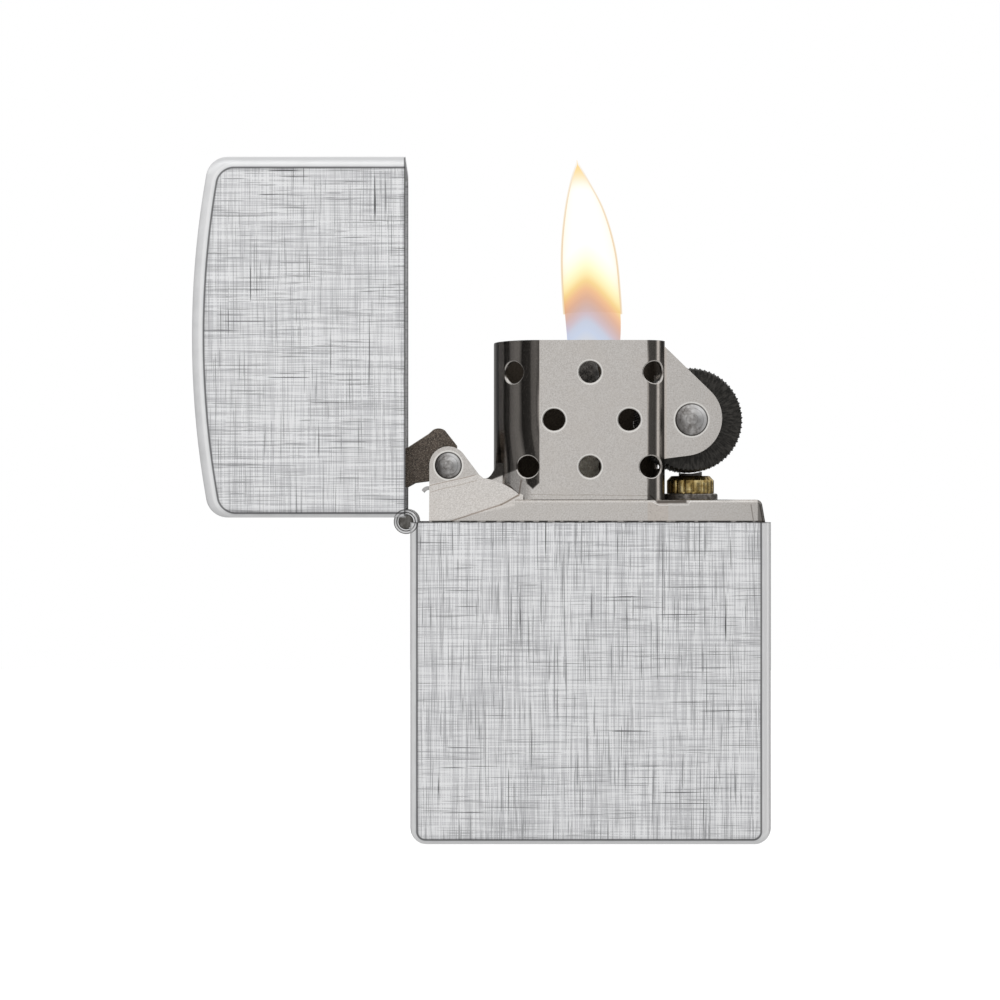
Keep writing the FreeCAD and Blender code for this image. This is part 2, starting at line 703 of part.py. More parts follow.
def flint_screw():
    """Slotted screw that closes the flint tube and holds its spring."""
    underside = TUBE_FOOT - SCREW_HEAD_THICK
    head = post(FLINT_X, SCREW_HEAD_RADIUS, underside, TUBE_FOOT)
    rims = [e for e in head.Edges if e.BoundBox.ZMax < underside + 0.01]
    head = head.makeChamfer(SCREW_HEAD_CHAMFER, rims)
    shank = post(FLINT_X, TUBE_INNER - SCREW_CLEARANCE, TUBE_FOOT, screw_top())
    slot = box(-FAR, FAR, -SLOT_HALF_WIDTH, SLOT_HALF_WIDTH, 0, underside + SLOT_DEPTH)
    return head.fuse(shank).cut(slot)


def wick():
    """Braided wick standing in its sleeve, its lower half in the packing."""
    body = post(WICK_X, WICK_RADIUS, WICK_FOOT, WICK_TOP)
    return body.makeFillet(WICK_TIP_ROUND, top_edges(body, WICK_TOP))


def wick_sleeve():
    """Flanged sleeve in the tank's top."""
    neck = post(WICK_X, WICK_RADIUS + SLEEVE_WALL, TANK_TOP - SLEEVE_DEPTH, TANK_TOP + SLEEVE_RISE)
    flange = post(WICK_X, SLEEVE_FLANGE, TANK_TOP, TANK_TOP + SLEEVE_FLANGE_THICK)
    return neck.fuse(flange).cut(post(WICK_X, WICK_RADIUS, 0, FAR))


def tank_room(corner, z0, z1):
    """Block that fills the tank's inside between two heights, a little clear of its walls."""
    inset = TANK_WALL + SOFT_CLEARANCE
    depth = TANK_HALF_DEPTH - inset
    return rounded_prism(TANK_LEFT + inset, TANK_RIGHT - inset, depth, corner, corner, z0, z1)


def cotton(index):
    """One wad of the packing, counted up from the pad, clear of the tube and the wick."""
    foot = TUBE_FOOT + PACKING_GAP
    step = (PACKING_TOP - foot) / PACKING_COUNT
    low = foot + index * step
    high = low + step - PACKING_GAP
    wad = tank_room(PACKING_CORNER, low, high)
    wad = wad.cut(post(FLINT_X, TUBE_OUTER + SOFT_CLEARANCE, 0, FAR))
    if high > WICK_FOOT:
        wad = wad.cut(post(WICK_X, WICK_RADIUS + WICK_CLEARANCE, WICK_FOOT - SOFT_CLEARANCE, FAR))
    return wad


def felt_pad():
    """Felt that closes the tank's underside, with a hole for the screw."""
    low = TANK_FOOT + PAD_RISE
    pad = tank_room(PAD_CORNER, low, low + PAD_THICK)
    return pad.cut(post(FLINT_X, SCREW_HEAD_RADIUS + PAD_HOLE_CLEARANCE, 0, FAR))


def build():
    nodes = {
        "case_shell": case_shell(),
        "hinge_leaf_case": hinge_leaf_case(),
        "hinge_pin": hinge_pin(),
        "lid_shell": lid_shell(),
        "hinge_leaf_lid": hinge_leaf_lid(),
        "insert_tank": insert_tank(),
        "chimney": chimney(),
        "cam": cam(),
        "cam_rivet": cam_rivet(),
        "cam_spring": cam_spring(),
        "cam_spring_rivet": cam_spring_rivet(),
        "striker_wheel": striker_wheel(),
        "wheel_rivet": wheel_rivet(),
        "flint": flint(),
        "flint_plunger": flint_plunger(),
        "flint_tube": flint_tube(),
        "flint_tube_collar": flint_tube_collar(),
        "flint_spring": flint_spring(),
        "flint_screw": flint_screw(),
        "wick": wick(),
        "wick_sleeve": wick_sleeve(),
        "felt_pad": felt_pad(),
    }
    for index in range(PACKING_COUNT):
        nodes["cotton_wad_%d" % (index + 1)] = cotton(index)
    return nodes


os.makedirs("parts", exist_ok=True)
for name, shape in build().items():
    shape = shape.Solids[0] if len(shape.Solids) == 1 else shape
    print("%-20s solids %d valid %s volume %8.2f" % (name, len(shape.Solids), shape.isValid(), shape.Volume))
    shape.exportStep("parts/%s.step" % name)
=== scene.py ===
import json
import math

import bmesh
import bpy
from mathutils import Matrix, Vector, noise


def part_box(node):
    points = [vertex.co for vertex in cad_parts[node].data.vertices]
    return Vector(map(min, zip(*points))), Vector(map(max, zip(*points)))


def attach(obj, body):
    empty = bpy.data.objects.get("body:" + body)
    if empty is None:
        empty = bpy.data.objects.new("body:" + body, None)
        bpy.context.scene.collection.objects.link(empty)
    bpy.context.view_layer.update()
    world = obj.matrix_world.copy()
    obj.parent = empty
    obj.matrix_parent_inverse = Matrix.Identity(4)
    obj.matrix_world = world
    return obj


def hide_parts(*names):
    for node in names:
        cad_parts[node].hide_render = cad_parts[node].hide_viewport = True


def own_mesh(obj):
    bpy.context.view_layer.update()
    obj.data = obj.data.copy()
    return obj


# A lit flip-top petrol lighter. The frame is in metres; lengths below are written in
# millimetres and turned into metres by MM.
MM = 0.001

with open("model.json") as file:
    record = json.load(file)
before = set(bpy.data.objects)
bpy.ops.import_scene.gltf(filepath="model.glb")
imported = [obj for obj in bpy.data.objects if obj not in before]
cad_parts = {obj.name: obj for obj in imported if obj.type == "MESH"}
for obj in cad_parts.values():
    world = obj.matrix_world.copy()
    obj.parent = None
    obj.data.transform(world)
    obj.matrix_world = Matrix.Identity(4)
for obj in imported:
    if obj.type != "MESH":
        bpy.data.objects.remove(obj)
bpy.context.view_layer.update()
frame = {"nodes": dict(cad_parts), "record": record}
nodes = frame["nodes"]


def middle(node):
    """Centre of a CAD node's box."""
    low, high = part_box(node)
    return (low + high) / 2


def half_size(node):
    """Half the extent of a CAD node's box along X, Y and Z."""
    low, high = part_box(node)
    return (high - low) / 2


def front_place(node):
    """X and Z of a CAD node's centre, in millimetres."""
    centre = middle(node)
    return centre.x / MM, centre.z / MM


# ---------------------------------------------------------------- node helpers


class Nodes:
    """A node tree, built with short calls. A value is a number, a colour or another node's socket."""

    def __init__(self, tree):
        self.tree = tree

    def new(self, kind):
        return self.tree.nodes.new("ShaderNode" + kind)

    def plug(self, socket, value):
        """Gives a socket a value or a link."""
        if isinstance(value, bpy.types.NodeSocket):
            self.tree.links.new(value, socket)
        else:
            socket.default_value = value

    def vector(self, operation, a, b):
        made = self.new("VectorMath")
        made.operation = operation
        self.plug(made.inputs[0], a)
        self.plug(made.inputs[1], b)
        return made.outputs[0]

    def math(self, operation, a, b=0.0, clamp=False):
        made = self.new("Math")
        made.operation = operation
        made.use_clamp = clamp
        self.plug(made.inputs[0], a)
        self.plug(made.inputs[1], b)
        return made.outputs[0]

    def plus(self, a, b, clamp=False):
        return self.math("ADD", a, b, clamp)

    def minus(self, a, b):
        return self.math("SUBTRACT", a, b)

    def times(self, first, *others):
        for other in others:
            first = self.math("MULTIPLY", first, other)
        return first

    def most(self, a, b):
        return self.math("MAXIMUM", a, b)

    def under(self, value, limit):
        """1 where a value is under a limit, 0 elsewhere."""
        return self.math("LESS_THAN", value, limit)

    def over(self, value, limit):
        """1 where a value is over a limit, 0 elsewhere."""
        return self.math("GREATER_THAN", value, limit)

    def size(self, value):
        return self.math("ABSOLUTE", value)

    def hypot(self, a, b):
        return self.math("SQRT", self.plus(self.times(a, a), self.times(b, b)))

    def split(self, vector):
        made = self.new("SeparateXYZ")
        self.plug(made.inputs[0], vector)
        return made.outputs[0], made.outputs[1], made.outputs[2]

    def fade(self, value, low, high, start=0.0, end=1.0):
        """Smooth step from start at low to end at high."""
        made = self.new("MapRange")
        made.interpolation_type = "SMOOTHSTEP"
        self.plug(made.inputs["Value"], value)
        self.plug(made.inputs["From Min"], low)
        self.plug(made.inputs["From Max"], high)
        self.plug(made.inputs["To Min"], start)
        self.plug(made.inputs["To Max"], end)
        return made.outputs["Result"]

    def mix(self, share, a, b):
        """Colour a, turning into colour b as share goes from 0 to 1."""
        made = self.new("Mix")
        made.data_type = "RGBA"
        self.plug(made.inputs["Factor"], share)
        self.plug(made.inputs[6], a if isinstance(a, bpy.types.NodeSocket) else (*a, 1.0))
        self.plug(made.inputs[7], b if isinstance(b, bpy.types.NodeSocket) else (*b, 1.0))
        return made.outputs[2]

    def blend(self, share, a, b):
        """Number a, turning into number b as share goes from 0 to 1."""
        made = self.new("Mix")
        made.data_type = "FLOAT"
        self.plug(made.inputs["Factor"], share)
        self.plug(made.inputs[2], a)
        self.plug(made.inputs[3], b)
        return made.outputs[0]

    def ramp(self, share, stops):
        """Colour read from (place, colour) stops."""
        made = self.new("ValToRGB")
        self.plug(made.inputs[0], share)
        band = made.color_ramp
        while len(band.elements) < len(stops):
            band.elements.new(0.5)
        for element, (place, color) in zip(band.elements, stops):
            element.position = place
            element.color = (*color, 1.0)
        return made.outputs[0]

    def greys(self, share, stops):
        """Grey read from (place, brightness) stops."""
        return self.ramp(share, [(place, (value, value, value)) for place, value in stops])


class Shader(Nodes):
    """One material. Its pattern space is the object's own, in millimetres."""

    def __init__(self, name, color=(0.5, 0.5, 0.5), metallic=0.0, roughness=0.5):
        self.material = bpy.data.materials.new(name)
        self.material.use_nodes = True
        super().__init__(self.material.node_tree)
        self.bsdf = self.tree.nodes["Principled BSDF"]
        self.set("Base Color", (*color, 1.0))
        self.set("Metallic", metallic)
        self.set("Roughness", roughness)
        coords = self.new("TexCoord")
        self.place = self.vector("MULTIPLY", coords.outputs["Object"], (1.0 / MM,) * 3)
        self.normal = coords.outputs["Normal"]

    def set(self, socket, value):
        """Gives a socket of the main shader a value or a link."""
        self.plug(self.bsdf.inputs[socket], value)

    def noise(self, scale, detail=2.0, stretch=(1, 1, 1), shift=0.0, rough=0.5):
        """Noise: scale is per millimetre, stretch multiplies each axis, shift picks the pattern."""
        place = self.vector("MULTIPLY", self.place, stretch)
        place = self.vector("ADD", place, (shift, shift * 0.7, shift * 1.3))
        return self.noise_at(place, scale, detail, rough)

    def noise_at(self, place, scale, detail, rough=0.5):
        made = self.new("TexNoise")
        self.plug(made.inputs["Vector"], place)
        self.plug(made.inputs["Scale"], scale)
        self.plug(made.inputs["Detail"], detail)
        self.plug(made.inputs["Roughness"], rough)
        return made.outputs["Fac"]

    def bump(self, height, distance, strength=1.0):
        """Surface relief; height 1 stands distance millimetres proud of height 0."""
        made = self.new("Bump")
        self.plug(made.inputs["Strength"], strength)
        self.plug(made.inputs["Distance"], distance * MM)
        self.plug(made.inputs["Height"], height)
        self.set("Normal", made.outputs[0])


# ---------------------------------------------------------------- shapes drawn on the front view
# x and z are sockets with the place on the object, in millimetres, and so is every distance

WHITE = (1.0, 1.0, 1.0)
# Near-black of the painted shade and painted dark lines on the case and the lid
PAINTED_DARK = (0.05, 0.05, 0.055)
HINGE_AXIS = front_place("hinge_pin")


def distance_from(s, x, z, centre):
    """Distance from an axis along Y."""
    return s.hypot(s.minus(x, centre[0]), s.minus(z, centre[1]))


def ring(s, distance, radius, width):
    """1 on a ring of a radius, 0 away from it."""
    off = s.size(s.minus(distance, radius))
    return s.fade(off, 0.35 * width, 0.65 * width, 1.0, 0.0)


def within(s, a, b, radius):
    """Signed distance to where two half planes meet in a rounded corner; negative inside."""
    a = s.plus(a, radius)
    b = s.plus(b, radius)
    outside = s.hypot(s.most(a, 0.0), s.most(b, 0.0))
    inside = s.math("MINIMUM", s.most(a, b), 0.0)
    return s.minus(s.plus(outside, inside), radius)


def crease(s, x, z, start, end, width):
    """1 along a straight line between two points, 0 away from it."""
    run, rise = end[0] - start[0], end[1] - start[1]
    length = math.hypot(run, rise)
    from_x = s.minus(x, start[0])
    from_z = s.minus(z, start[1])
    across = s.plus(s.times(from_x, -rise / length), s.times(from_z, run / length))
    along = s.plus(s.times(from_x, run / length), s.times(from_z, rise / length))
    near = s.fade(s.size(across), 0.3 * width, width, 1.0, 0.0)
    ends = s.times(s.fade(along, -0.15, 0.1), s.fade(along, length - 0.1, length + 0.15, 1.0, 0.0))
    return s.times(near, ends)


# ---------------------------------------------------------------- steel of the case and the lid

CASE_HALF_WIDTH = half_size("case_shell").x / MM
CASE_HALF_DEPTH = half_size("case_shell").y / MM
CASE_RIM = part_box("case_shell")[1].z / MM
LID_CROWN_X, _, LID_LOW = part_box("lid_shell")[0] / MM
LID_RIM_X, _, LID_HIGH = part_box("lid_shell")[1] / MM
DOME_RADIUS = 98.0
DOME_CENTRE_X = LID_CROWN_X + DOME_RADIUS

# Insets of the brushed flats from the outlines, and the rounds of their corners
CASE_LEFT_INSET = 0.74
CASE_RIGHT_INSET = 1.18
CASE_FOOT_INSET = 0.6
CASE_ROUND = 0.9
LID_FOOT_INSET = 0.48
LID_HEAD_INSET = 1.3
DOME_INSET = 1.35
LID_ROUND = 1.5

# Turned grooves in the end of the hinge's barrel, drawn as painted shade
GROOVE_RADII = (0.98, 1.27)
GROOVE_WIDTH = 0.12

# Brushing: weight of the fainter set of lines, and the step in noise from bare metal to a scratch
FAINTER = 0.72
SCRATCH_EDGE = 0.045


def case_outline(s, x, z):
    """Distance outside the brushed panel of the case."""
    sides = s.most(s.minus(CASE_LEFT_INSET - CASE_HALF_WIDTH, x),
                   s.minus(x, CASE_HALF_WIDTH - CASE_RIGHT_INSET))
    return within(s, sides, s.minus(CASE_FOOT_INSET, z), CASE_ROUND)


def lid_outline(s, x, z):
    """Distance outside the brushed panel of the lid, which lies open on its side."""
    ends = s.most(s.minus(LID_LOW + LID_FOOT_INSET, z), s.minus(z, LID_HIGH - LID_HEAD_INSET))
    reach = distance_from(s, x, z, (DOME_CENTRE_X, 0.5 * (LID_LOW + LID_HIGH)))
    return within(s, ends, s.minus(reach, DOME_RADIUS - DOME_INSET), LID_ROUND)


def hinge_rings(s, x, z):
    """Painted shade in the turned grooves in the end of the hinge's barrel."""
    distance = distance_from(s, x, z, HINGE_AXIS)
    inner, outer = (ring(s, distance, radius, GROOVE_WIDTH) for radius in GROOVE_RADII)
    return s.times(s.plus(inner, outer, clamp=True), s.size(s.split(s.normal)[1]))


def scratches(s, pitch, length, upright, threshold, shift):
    """Fine straight lines, 1 on a line and 0 between. Pitch and length are in millimetres."""
    across, along = 1.0 / pitch, 1.0 / length
    stretch = (across, 0.3, along) if upright else (along, 0.3, across)
    return s.fade(s.noise(1.0, 1.0, stretch, shift), threshold, threshold + SCRATCH_EDGE)


def brushing(s, is_lid):
    """Colour and relief of the linen brushing. Upright lines lead on the case, level ones on the lid."""
    upright_share = s.blend(is_lid, 1.0, FAINTER)
    level_share = s.blend(is_lid, FAINTER, 1.0)
    upright = s.noise(1.0, 1.0, (7.0, 0.3, 0.10), 3.1, 0.65)
    level = s.noise(1.0, 1.0, (0.10, 0.3, 7.0), 11.7, 0.65)
    weave = s.plus(s.times(upright, upright_share), s.times(level, level_share))
    upright_dark = s.most(scratches(s, 0.12, 6.0, True, 0.635, 21.0),
                          scratches(s, 0.10, 9.0, True, 0.65, 52.0))
    level_dark = s.most(scratches(s, 0.12, 6.0, False, 0.635, 38.7),
                        scratches(s, 0.10, 9.0, False, 0.65, 71.3))
    dark = s.most(s.times(upright_dark, upright_share), s.times(level_dark, level_share))
    deep = s.most(scratches(s, 0.13, 9.0, True, 0.70, 83.0), scratches(s, 0.13, 9.0, False, 0.695, 91.0))
    cloud = s.noise(0.11, 2.0, (1, 1, 1), 5.0)
    color = s.mix(s.fade(weave, 0.70, 1.00), (0.66, 0.662, 0.678), (0.985, 0.99, 1.0))
    color = s.mix(s.fade(cloud, 0.35, 0.65, 0.0, 0.14), color, WHITE)
    color = s.mix(s.times(dark, 0.60), color, (0.15, 0.15, 0.16))
    color = s.mix(s.times(deep, 0.95), color, (0.025, 0.025, 0.028))
    return color, s.minus(weave, s.times(s.plus(dark, deep), 0.8))


def polish_with_painted_light(s, y, distance):
    """Colour of the rounded edges, with painted light: painted shade where they face up, painted light where
    they face right, lighter along the panel than on the narrow sides, and a painted glint just outside the
    panel.
    """
    normal_x, _, normal_z = s.split(s.normal)
    handling = s.noise(0.5, 3.0, (1, 1, 1), 9.0)
    side = s.fade(s.size(y), CASE_HALF_DEPTH - 0.75, CASE_HALF_DEPTH - 0.45, 1.0, 0.0)
    # Painted glint: a light band just outside the panel
    painted_glint = s.times(s.fade(distance, 0.24, 0.36), s.fade(distance, 0.46, 0.6, 1.0, 0.0))
    color = s.mix(s.fade(handling, 0.35, 0.7), (0.93, 0.932, 0.94), (0.86, 0.862, 0.87))
    color = s.mix(side, color, (0.78, 0.78, 0.785))
    # Painted shade where the edges face up, painted light where they face right
    color = s.mix(s.fade(normal_z, 0.1, 0.7), color, (0.60, 0.602, 0.61))
    color = s.mix(s.fade(normal_x, 0.1, 0.6), color, WHITE)
    return s.mix(s.times(painted_glint, 0.7), color, WHITE)


def rim_lines(s, x, z, is_lid):
    """Painted shade: 1 along the open rim of the lid, and in broken dashes along the rim of the case."""
    dashes = s.fade(s.noise(1.0, 1.0, (1.6, 0.3, 1.0), 29.0), 0.40, 0.52)
    case_rim = s.times(s.fade(z, CASE_RIM - 0.13, CASE_RIM - 0.05), s.minus(1.0, is_lid))
    lid_rim = s.times(s.fade(x, LID_RIM_X - 0.2, LID_RIM_X - 0.08), is_lid)
    return s.plus(s.times(case_rim, s.blend(dashes, 0.55, 0.9)), lid_rim, clamp=True)


def make_case_steel():
    """Plated sheet: cross-brushed panels with painted shade towards their edges, a painted dark line where
    they end, polished rounded edges with painted light, and painted shade along the rims and in the hinge
    barrel's grooves.
    """
    s = Shader("case_steel", (0.8, 0.8, 0.81), 1.0, 0.25)
    x, y, z = s.split(s.place)
    is_lid = s.under(x, LID_RIM_X + 0.25)
    distance = s.blend(is_lid, case_outline(s, x, z), lid_outline(s, x, z))
    outside = s.fade(s.size(y), CASE_HALF_DEPTH - 0.6, CASE_HALF_DEPTH - 0.4)
    panel = s.times(s.fade(distance, -0.06, 0.02, 1.0, 0.0), outside)
    edge_shade = s.times(s.fade(distance, -0.75, -0.05), panel)
    # Painted dark line where the flat meets the rounded edge, standing in for a dark reflection
    edge_line = s.times(s.fade(distance, -0.16, -0.02), s.fade(distance, 0.04, 0.18, 1.0, 0.0), outside)

    brushed, relief = brushing(s, is_lid)
    brushed = s.mix(s.times(edge_shade, 0.22), brushed, (0.50, 0.50, 0.51))
    color = s.mix(panel, polish_with_painted_light(s, y, distance), brushed)
    color = s.mix(s.times(edge_line, 0.85), color, PAINTED_DARK)
    # Painted shade along the rims of the case and the lid
    color = s.mix(s.times(rim_lines(s, x, z, is_lid), outside, 0.85), color, PAINTED_DARK)
    # Painted shade in the grooves of the hinge barrel's end
    color = s.mix(s.times(hinge_rings(s, x, z), 0.88), color, (0.035, 0.032, 0.03))
    s.set("Base Color", color)

    rim_face = s.fade(s.split(s.normal)[0], 0.9, 0.95)
    rim_face = s.times(rim_face, s.over(x, LID_RIM_X - 0.1), is_lid)
    s.set("Metallic", s.blend(rim_face, s.blend(panel, 0.38, 0.3), 0.0))
    s.set("Roughness", s.blend(panel, 0.32, 0.5))
    ripple = s.noise(1.0, 2.0, (0.6, 5.0, 0.6), 13.0)
    s.bump(s.blend(panel, ripple, relief), 0.010, 0.3)
    return s.material


# ---------------------------------------------------------------- steel of the insert

# Painted reflections: brightness round the ends of the chimney's screen, by share of the quarter turn from
# the front
LEFT_REFLECTION_TONES = (
    (0.0, 1.0), (0.015, 0.3), (0.03, 0.10), (0.05, 0.17), (0.11, 0.15), (0.135, 0.04), (0.25, 0.035),
    (0.275, 0.2), (0.31, 0.42), (0.36, 0.46), (0.40, 0.40), (0.45, 0.38), (0.475, 0.16), (0.515, 0.14),
    (0.535, 0.07), (0.565, 0.07), (0.60, 0.5), (0.70, 0.5), (0.73, 0.05), (0.80, 0.045), (0.84, 0.24),
    (1.0, 0.3),
)
RIGHT_REFLECTION_TONES = (
    (0.0, 1.0), (0.03, 0.9), (0.07, 0.30), (0.20, 0.34), (0.29, 0.27), (0.34, 0.6), (0.38, 1.0),
    (0.47, 0.95), (0.53, 0.36), (0.64, 0.22), (0.72, 0.2), (0.78, 0.42), (1.0, 0.42),
)
# The screen: its middle, its reach to either side, its foot and the front of its flat
SCREEN_X = -1.07
SCREEN_REACH = 8.9
SCREEN_FOOT = 36.3
SCREEN_FRONT = -3.3
# Where the painted reflection streaks are: from a limit to the flat on the left, and about a middle on the
# right
LEFT_LIMIT = -11.3
LEFT_FLAT_END = -5.45
RIGHT_FLAT_END = 5.95
RIGHT_END_X = 7.1
RIGHT_END_REACH = 1.1
# The post left of the screen, painted dark as a reflection, ends here
POST_X = -9.0
# The left painted reflection streaks stand on the slanted shoulder, and end in a point beside the flat
SHOULDER_START = (-10.58, 38.42)
SHOULDER_SLOPE = 0.4
POINT = (-6.1, 37.5)
POINT_SLOPE = 0.9
POINT_BLEND = (-7.2, -6.7)
# Low down they turn outwards, by this angle in radians at the lower height and not at the upper
BEND_LOW = 39.5
BEND_HIGH = 44.5
BEND_TURN = 0.13

HIGHLIGHT = (0.98, 0.96, 0.92)
# Painted shade along creases in the front of the insert, and painted highlights beside them: start, end,
# half width, depth of tone, tint
CREASE_SHADE_AND_HIGHLIGHTS = (
    # painted shade along the folds of the slanted shoulder, and up the screen
    ((-14.8, 34.1), (-9.4, 35.9), 0.11, 0.60, (0.19, 0.125, 0.08)),
    ((-9.5, 35.85), (-7.55, 36.9), 0.13, 0.70, (0.16, 0.11, 0.07)),
    ((-7.55, 36.9), (-7.3, 38.5), 0.12, 0.60, (0.18, 0.12, 0.08)),
    # painted shade along the bend under the cam's ear
    ((-17.0, 37.9), (-12.2, 39.0), 0.07, 0.55, (0.22, 0.15, 0.10)),
    ((-16.9, 37.2), (-12.0, 38.4), 0.06, 0.40, (0.25, 0.18, 0.12)),
    # painted shade along the foot of the screen
    ((-6.4, 36.95), (6.4, 36.8), 0.06, 0.32, (0.20, 0.16, 0.12)),
    # painted shade on the stamped step beside the flint tube, and painted highlights round its lower edge
    # and along the tank's top edge
    ((6.3, 36.85), (7.0, 36.2), 0.10, 0.80, (0.06, 0.05, 0.04)),
    ((7.0, 36.19), (10.1, 36.19), 0.24, 0.90, (0.075, 0.06, 0.048)),
    ((6.6, 36.1), (7.2, 35.84), 0.07, 0.75, HIGHLIGHT),
    ((7.2, 35.84), (10.3, 35.84), 0.07, 0.75, HIGHLIGHT),
    ((10.3, 35.9), (10.6, 36.3), 0.07, 0.6, HIGHLIGHT),
    ((10.6, 36.22), (17.2, 36.22), 0.06, 0.45, HIGHLIGHT),
    # painted shade along the fold at the end of the tank
    ((16.9, 35.9), (17.15, 34.2), 0.09, 0.55, (0.15, 0.12, 0.10)),
)
# Rivets and holes in the front: centre, radius
RIVET_EDGES = tuple((front_place(node), half_size(node).x / MM) for node in ("cam_rivet", "wheel_rivet"))
HOLE_RADIUS = 1.2
FLAT_HOLES = ((-3.85, 44.83), (4.1, 44.83), (-0.05, 49.86), (-0.05, 39.87))
TANK_END_X = 17.55


def streak_foot(s, x):
    """Height at which the left streaks start."""
    shoulder = s.plus(s.times(s.minus(x, SHOULDER_START[0]), SHOULDER_SLOPE), SHOULDER_START[1])
    point = s.plus(s.times(s.size(s.minus(x, POINT[0])), POINT_SLOPE), POINT[1])
    return s.blend(s.fade(x, *POINT_BLEND), shoulder, point)


def painted_end_reflections(s, x, z):
    """Painted reflections: upright light and dark streaks round both ends of the screen, their tone and
    where they are.
    """
    normal_x, normal_y, normal_z = s.split(s.normal)
    wobble = s.times(s.minus(s.noise(1.0, 2.0, (0.4, 0.4, 0.12), 83.0), 0.5), 0.09)
    bend = s.times(s.fade(z, BEND_LOW, BEND_HIGH, BEND_TURN, 0.0), s.under(x, 0.0))
    turn = s.math("ARCTAN2", s.size(normal_x), s.size(normal_y))
    turn = s.times(s.plus(turn, s.plus(wobble, bend)), 2.0 / math.pi)

    at_left = s.fade(x, LEFT_FLAT_END, LEFT_FLAT_END + 0.1, 1.0, 0.0)
    at_left = s.times(at_left, s.over(x, LEFT_LIMIT), s.fade(s.minus(z, streak_foot(s, x)), -0.08, 0.12))
    at_right = s.fade(x, RIGHT_FLAT_END - 0.1, RIGHT_FLAT_END)
    at_right = s.times(at_right, s.under(s.size(s.minus(x, RIGHT_END_X)), RIGHT_END_REACH))
    upright = s.fade(s.size(normal_z), 0.15, 0.4, 1.0, 0.0)

    # Painted dark reflection on the front and back faces of the post left of the screen
    post = s.times(s.under(x, POST_X), s.over(s.size(normal_y), 0.9), at_left)
    left = s.mix(post, s.greys(turn, LEFT_REFLECTION_TONES), (0.05, 0.05, 0.05))
    tone = s.mix(s.over(x, 0.0), left, s.greys(turn, RIGHT_REFLECTION_TONES))
    return tone, s.times(upright, s.plus(at_left, at_right, clamp=True))


def satin(s, grain, patches):
    """Colour of the plated sheet, with a few dark specks."""
    specks = s.fade(s.noise(5.0, 0.0, (1, 1, 1), 19.0), 0.71, 0.76)
    color = s.mix(s.fade(grain, 0.32, 0.68), (0.56, 0.53, 0.50), (0.74, 0.71, 0.68))
    color = s.mix(s.fade(patches, 0.4, 0.75, 0.0, 0.3), color, (0.64, 0.595, 0.55))
    return s.mix(s.times(specks, 0.14), color, (0.2, 0.17, 0.14))


def painted_reflection_color(s, tone):
    """Colour of the painted reflection streaks, with the sheet's own speckle in them."""
    speckle = s.noise(11.0, 2.0, (1, 1, 0.7), 97.0, 0.7)
    color = s.mix(tone, (0.004, 0.0035, 0.003), (0.68, 0.625, 0.575))
    color = s.mix(s.fade(speckle, 0.52, 0.72, 0.0, 0.16), color, (0.42, 0.38, 0.34))
    return s.mix(s.fade(speckle, 0.30, 0.48, 0.35, 0.0), color, (0.02, 0.018, 0.015))


def inside_screen(s, x, y, z):
    """1 on the faces that look into the chimney."""
    normal_x, normal_y, _ = s.split(s.normal)
    from_middle = s.minus(x, SCREEN_X)
    facing_in = s.plus(s.times(normal_y, y), s.times(normal_x, from_middle))
    return s.times(s.fade(facing_in, -4.0, -3.0, 1.0, 0.0), s.fade(z, SCREEN_FOOT, SCREEN_FOOT + 0.2),
                   s.under(s.size(from_middle), SCREEN_REACH))


def make_insert_steel():
    """Satin nickel plate with the fine grain of stamped sheet, sooty inside the chimney; painted reflections
    round the screen's ends, painted shade and highlights along its creases, painted highlights round rivets
    and holes, a painted contact shadow above the case's rim and painted shade on the tank's rounded end.
    """
    s = Shader("insert_steel", (0.6, 0.58, 0.56), 1.0, 0.2)
    x, y, z = s.split(s.place)
    normal_x, normal_y, _ = s.split(s.normal)
    grain = s.noise(7.0, 2.0, (1, 1, 1), 2.0, 0.7)
    patches = s.noise(0.35, 3.0, (1, 1, 1), 7.0)
    tone, streaks = painted_end_reflections(s, x, z)
    color = s.mix(streaks, satin(s, grain, patches), painted_reflection_color(s, tone))

    wavy = s.plus(z, s.times(s.minus(patches, 0.5), 0.25))
    # Painted shade and painted highlights along the creases
    for start, end, width, depth, tint in CREASE_SHADE_AND_HIGHLIGHTS:
        line = s.times(crease(s, x, wavy, start, end, width), s.under(y, 0.0))
        color = s.mix(s.times(line, depth), color, tint)

    sooty = inside_screen(s, x, y, z)
    soot = s.mix(s.fade(grain, 0.3, 0.7), (0.055, 0.045, 0.034), (0.12, 0.10, 0.08))
    color = s.mix(sooty, color, soot)

    front = s.times(s.under(normal_y, -0.9), s.under(y, SCREEN_FRONT))
    # Painted highlights round the rims of the rivets and holes in the front
    for centre, radius in RIVET_EDGES + tuple((hole, HOLE_RADIUS) for hole in FLAT_HOLES):
        rim = s.times(ring(s, distance_from(s, x, z, centre), radius + 0.09, 0.16), front)
        color = s.mix(s.times(rim, 0.7), color, HIGHLIGHT)

    # Painted contact shadow, in dashes, just above the case's rim
    dashes = s.fade(s.noise(1.0, 1.0, (1.4, 0.3, 0.3), 37.0), 0.38, 0.5, 0.55, 1.0)
    contact_shadow = s.times(s.fade(z, CASE_RIM + 0.1, CASE_RIM + 0.24, 1.0, 0.0), dashes)
    color = s.mix(s.times(contact_shadow, 0.95), color, (0.012, 0.011, 0.01))
    # Painted shade on the rounded right end of the tank
    tank_end_shade = s.times(s.fade(x, TANK_END_X, TANK_END_X + 0.15), s.fade(normal_x, 0.75, 0.9, 1.0, 0.0))
    color = s.mix(s.times(tank_end_shade, 0.75), color, (0.10, 0.09, 0.08))
    s.set("Base Color", color)
    s.set("Roughness", s.blend(sooty, s.fade(grain, 0.3, 0.7, 0.16, 0.26), 0.6))
    s.bump(s.plus(grain, s.times(patches, 2.0)), 0.008, 0.3)
    return s.material


# ---------------------------------------------------------------- other materials


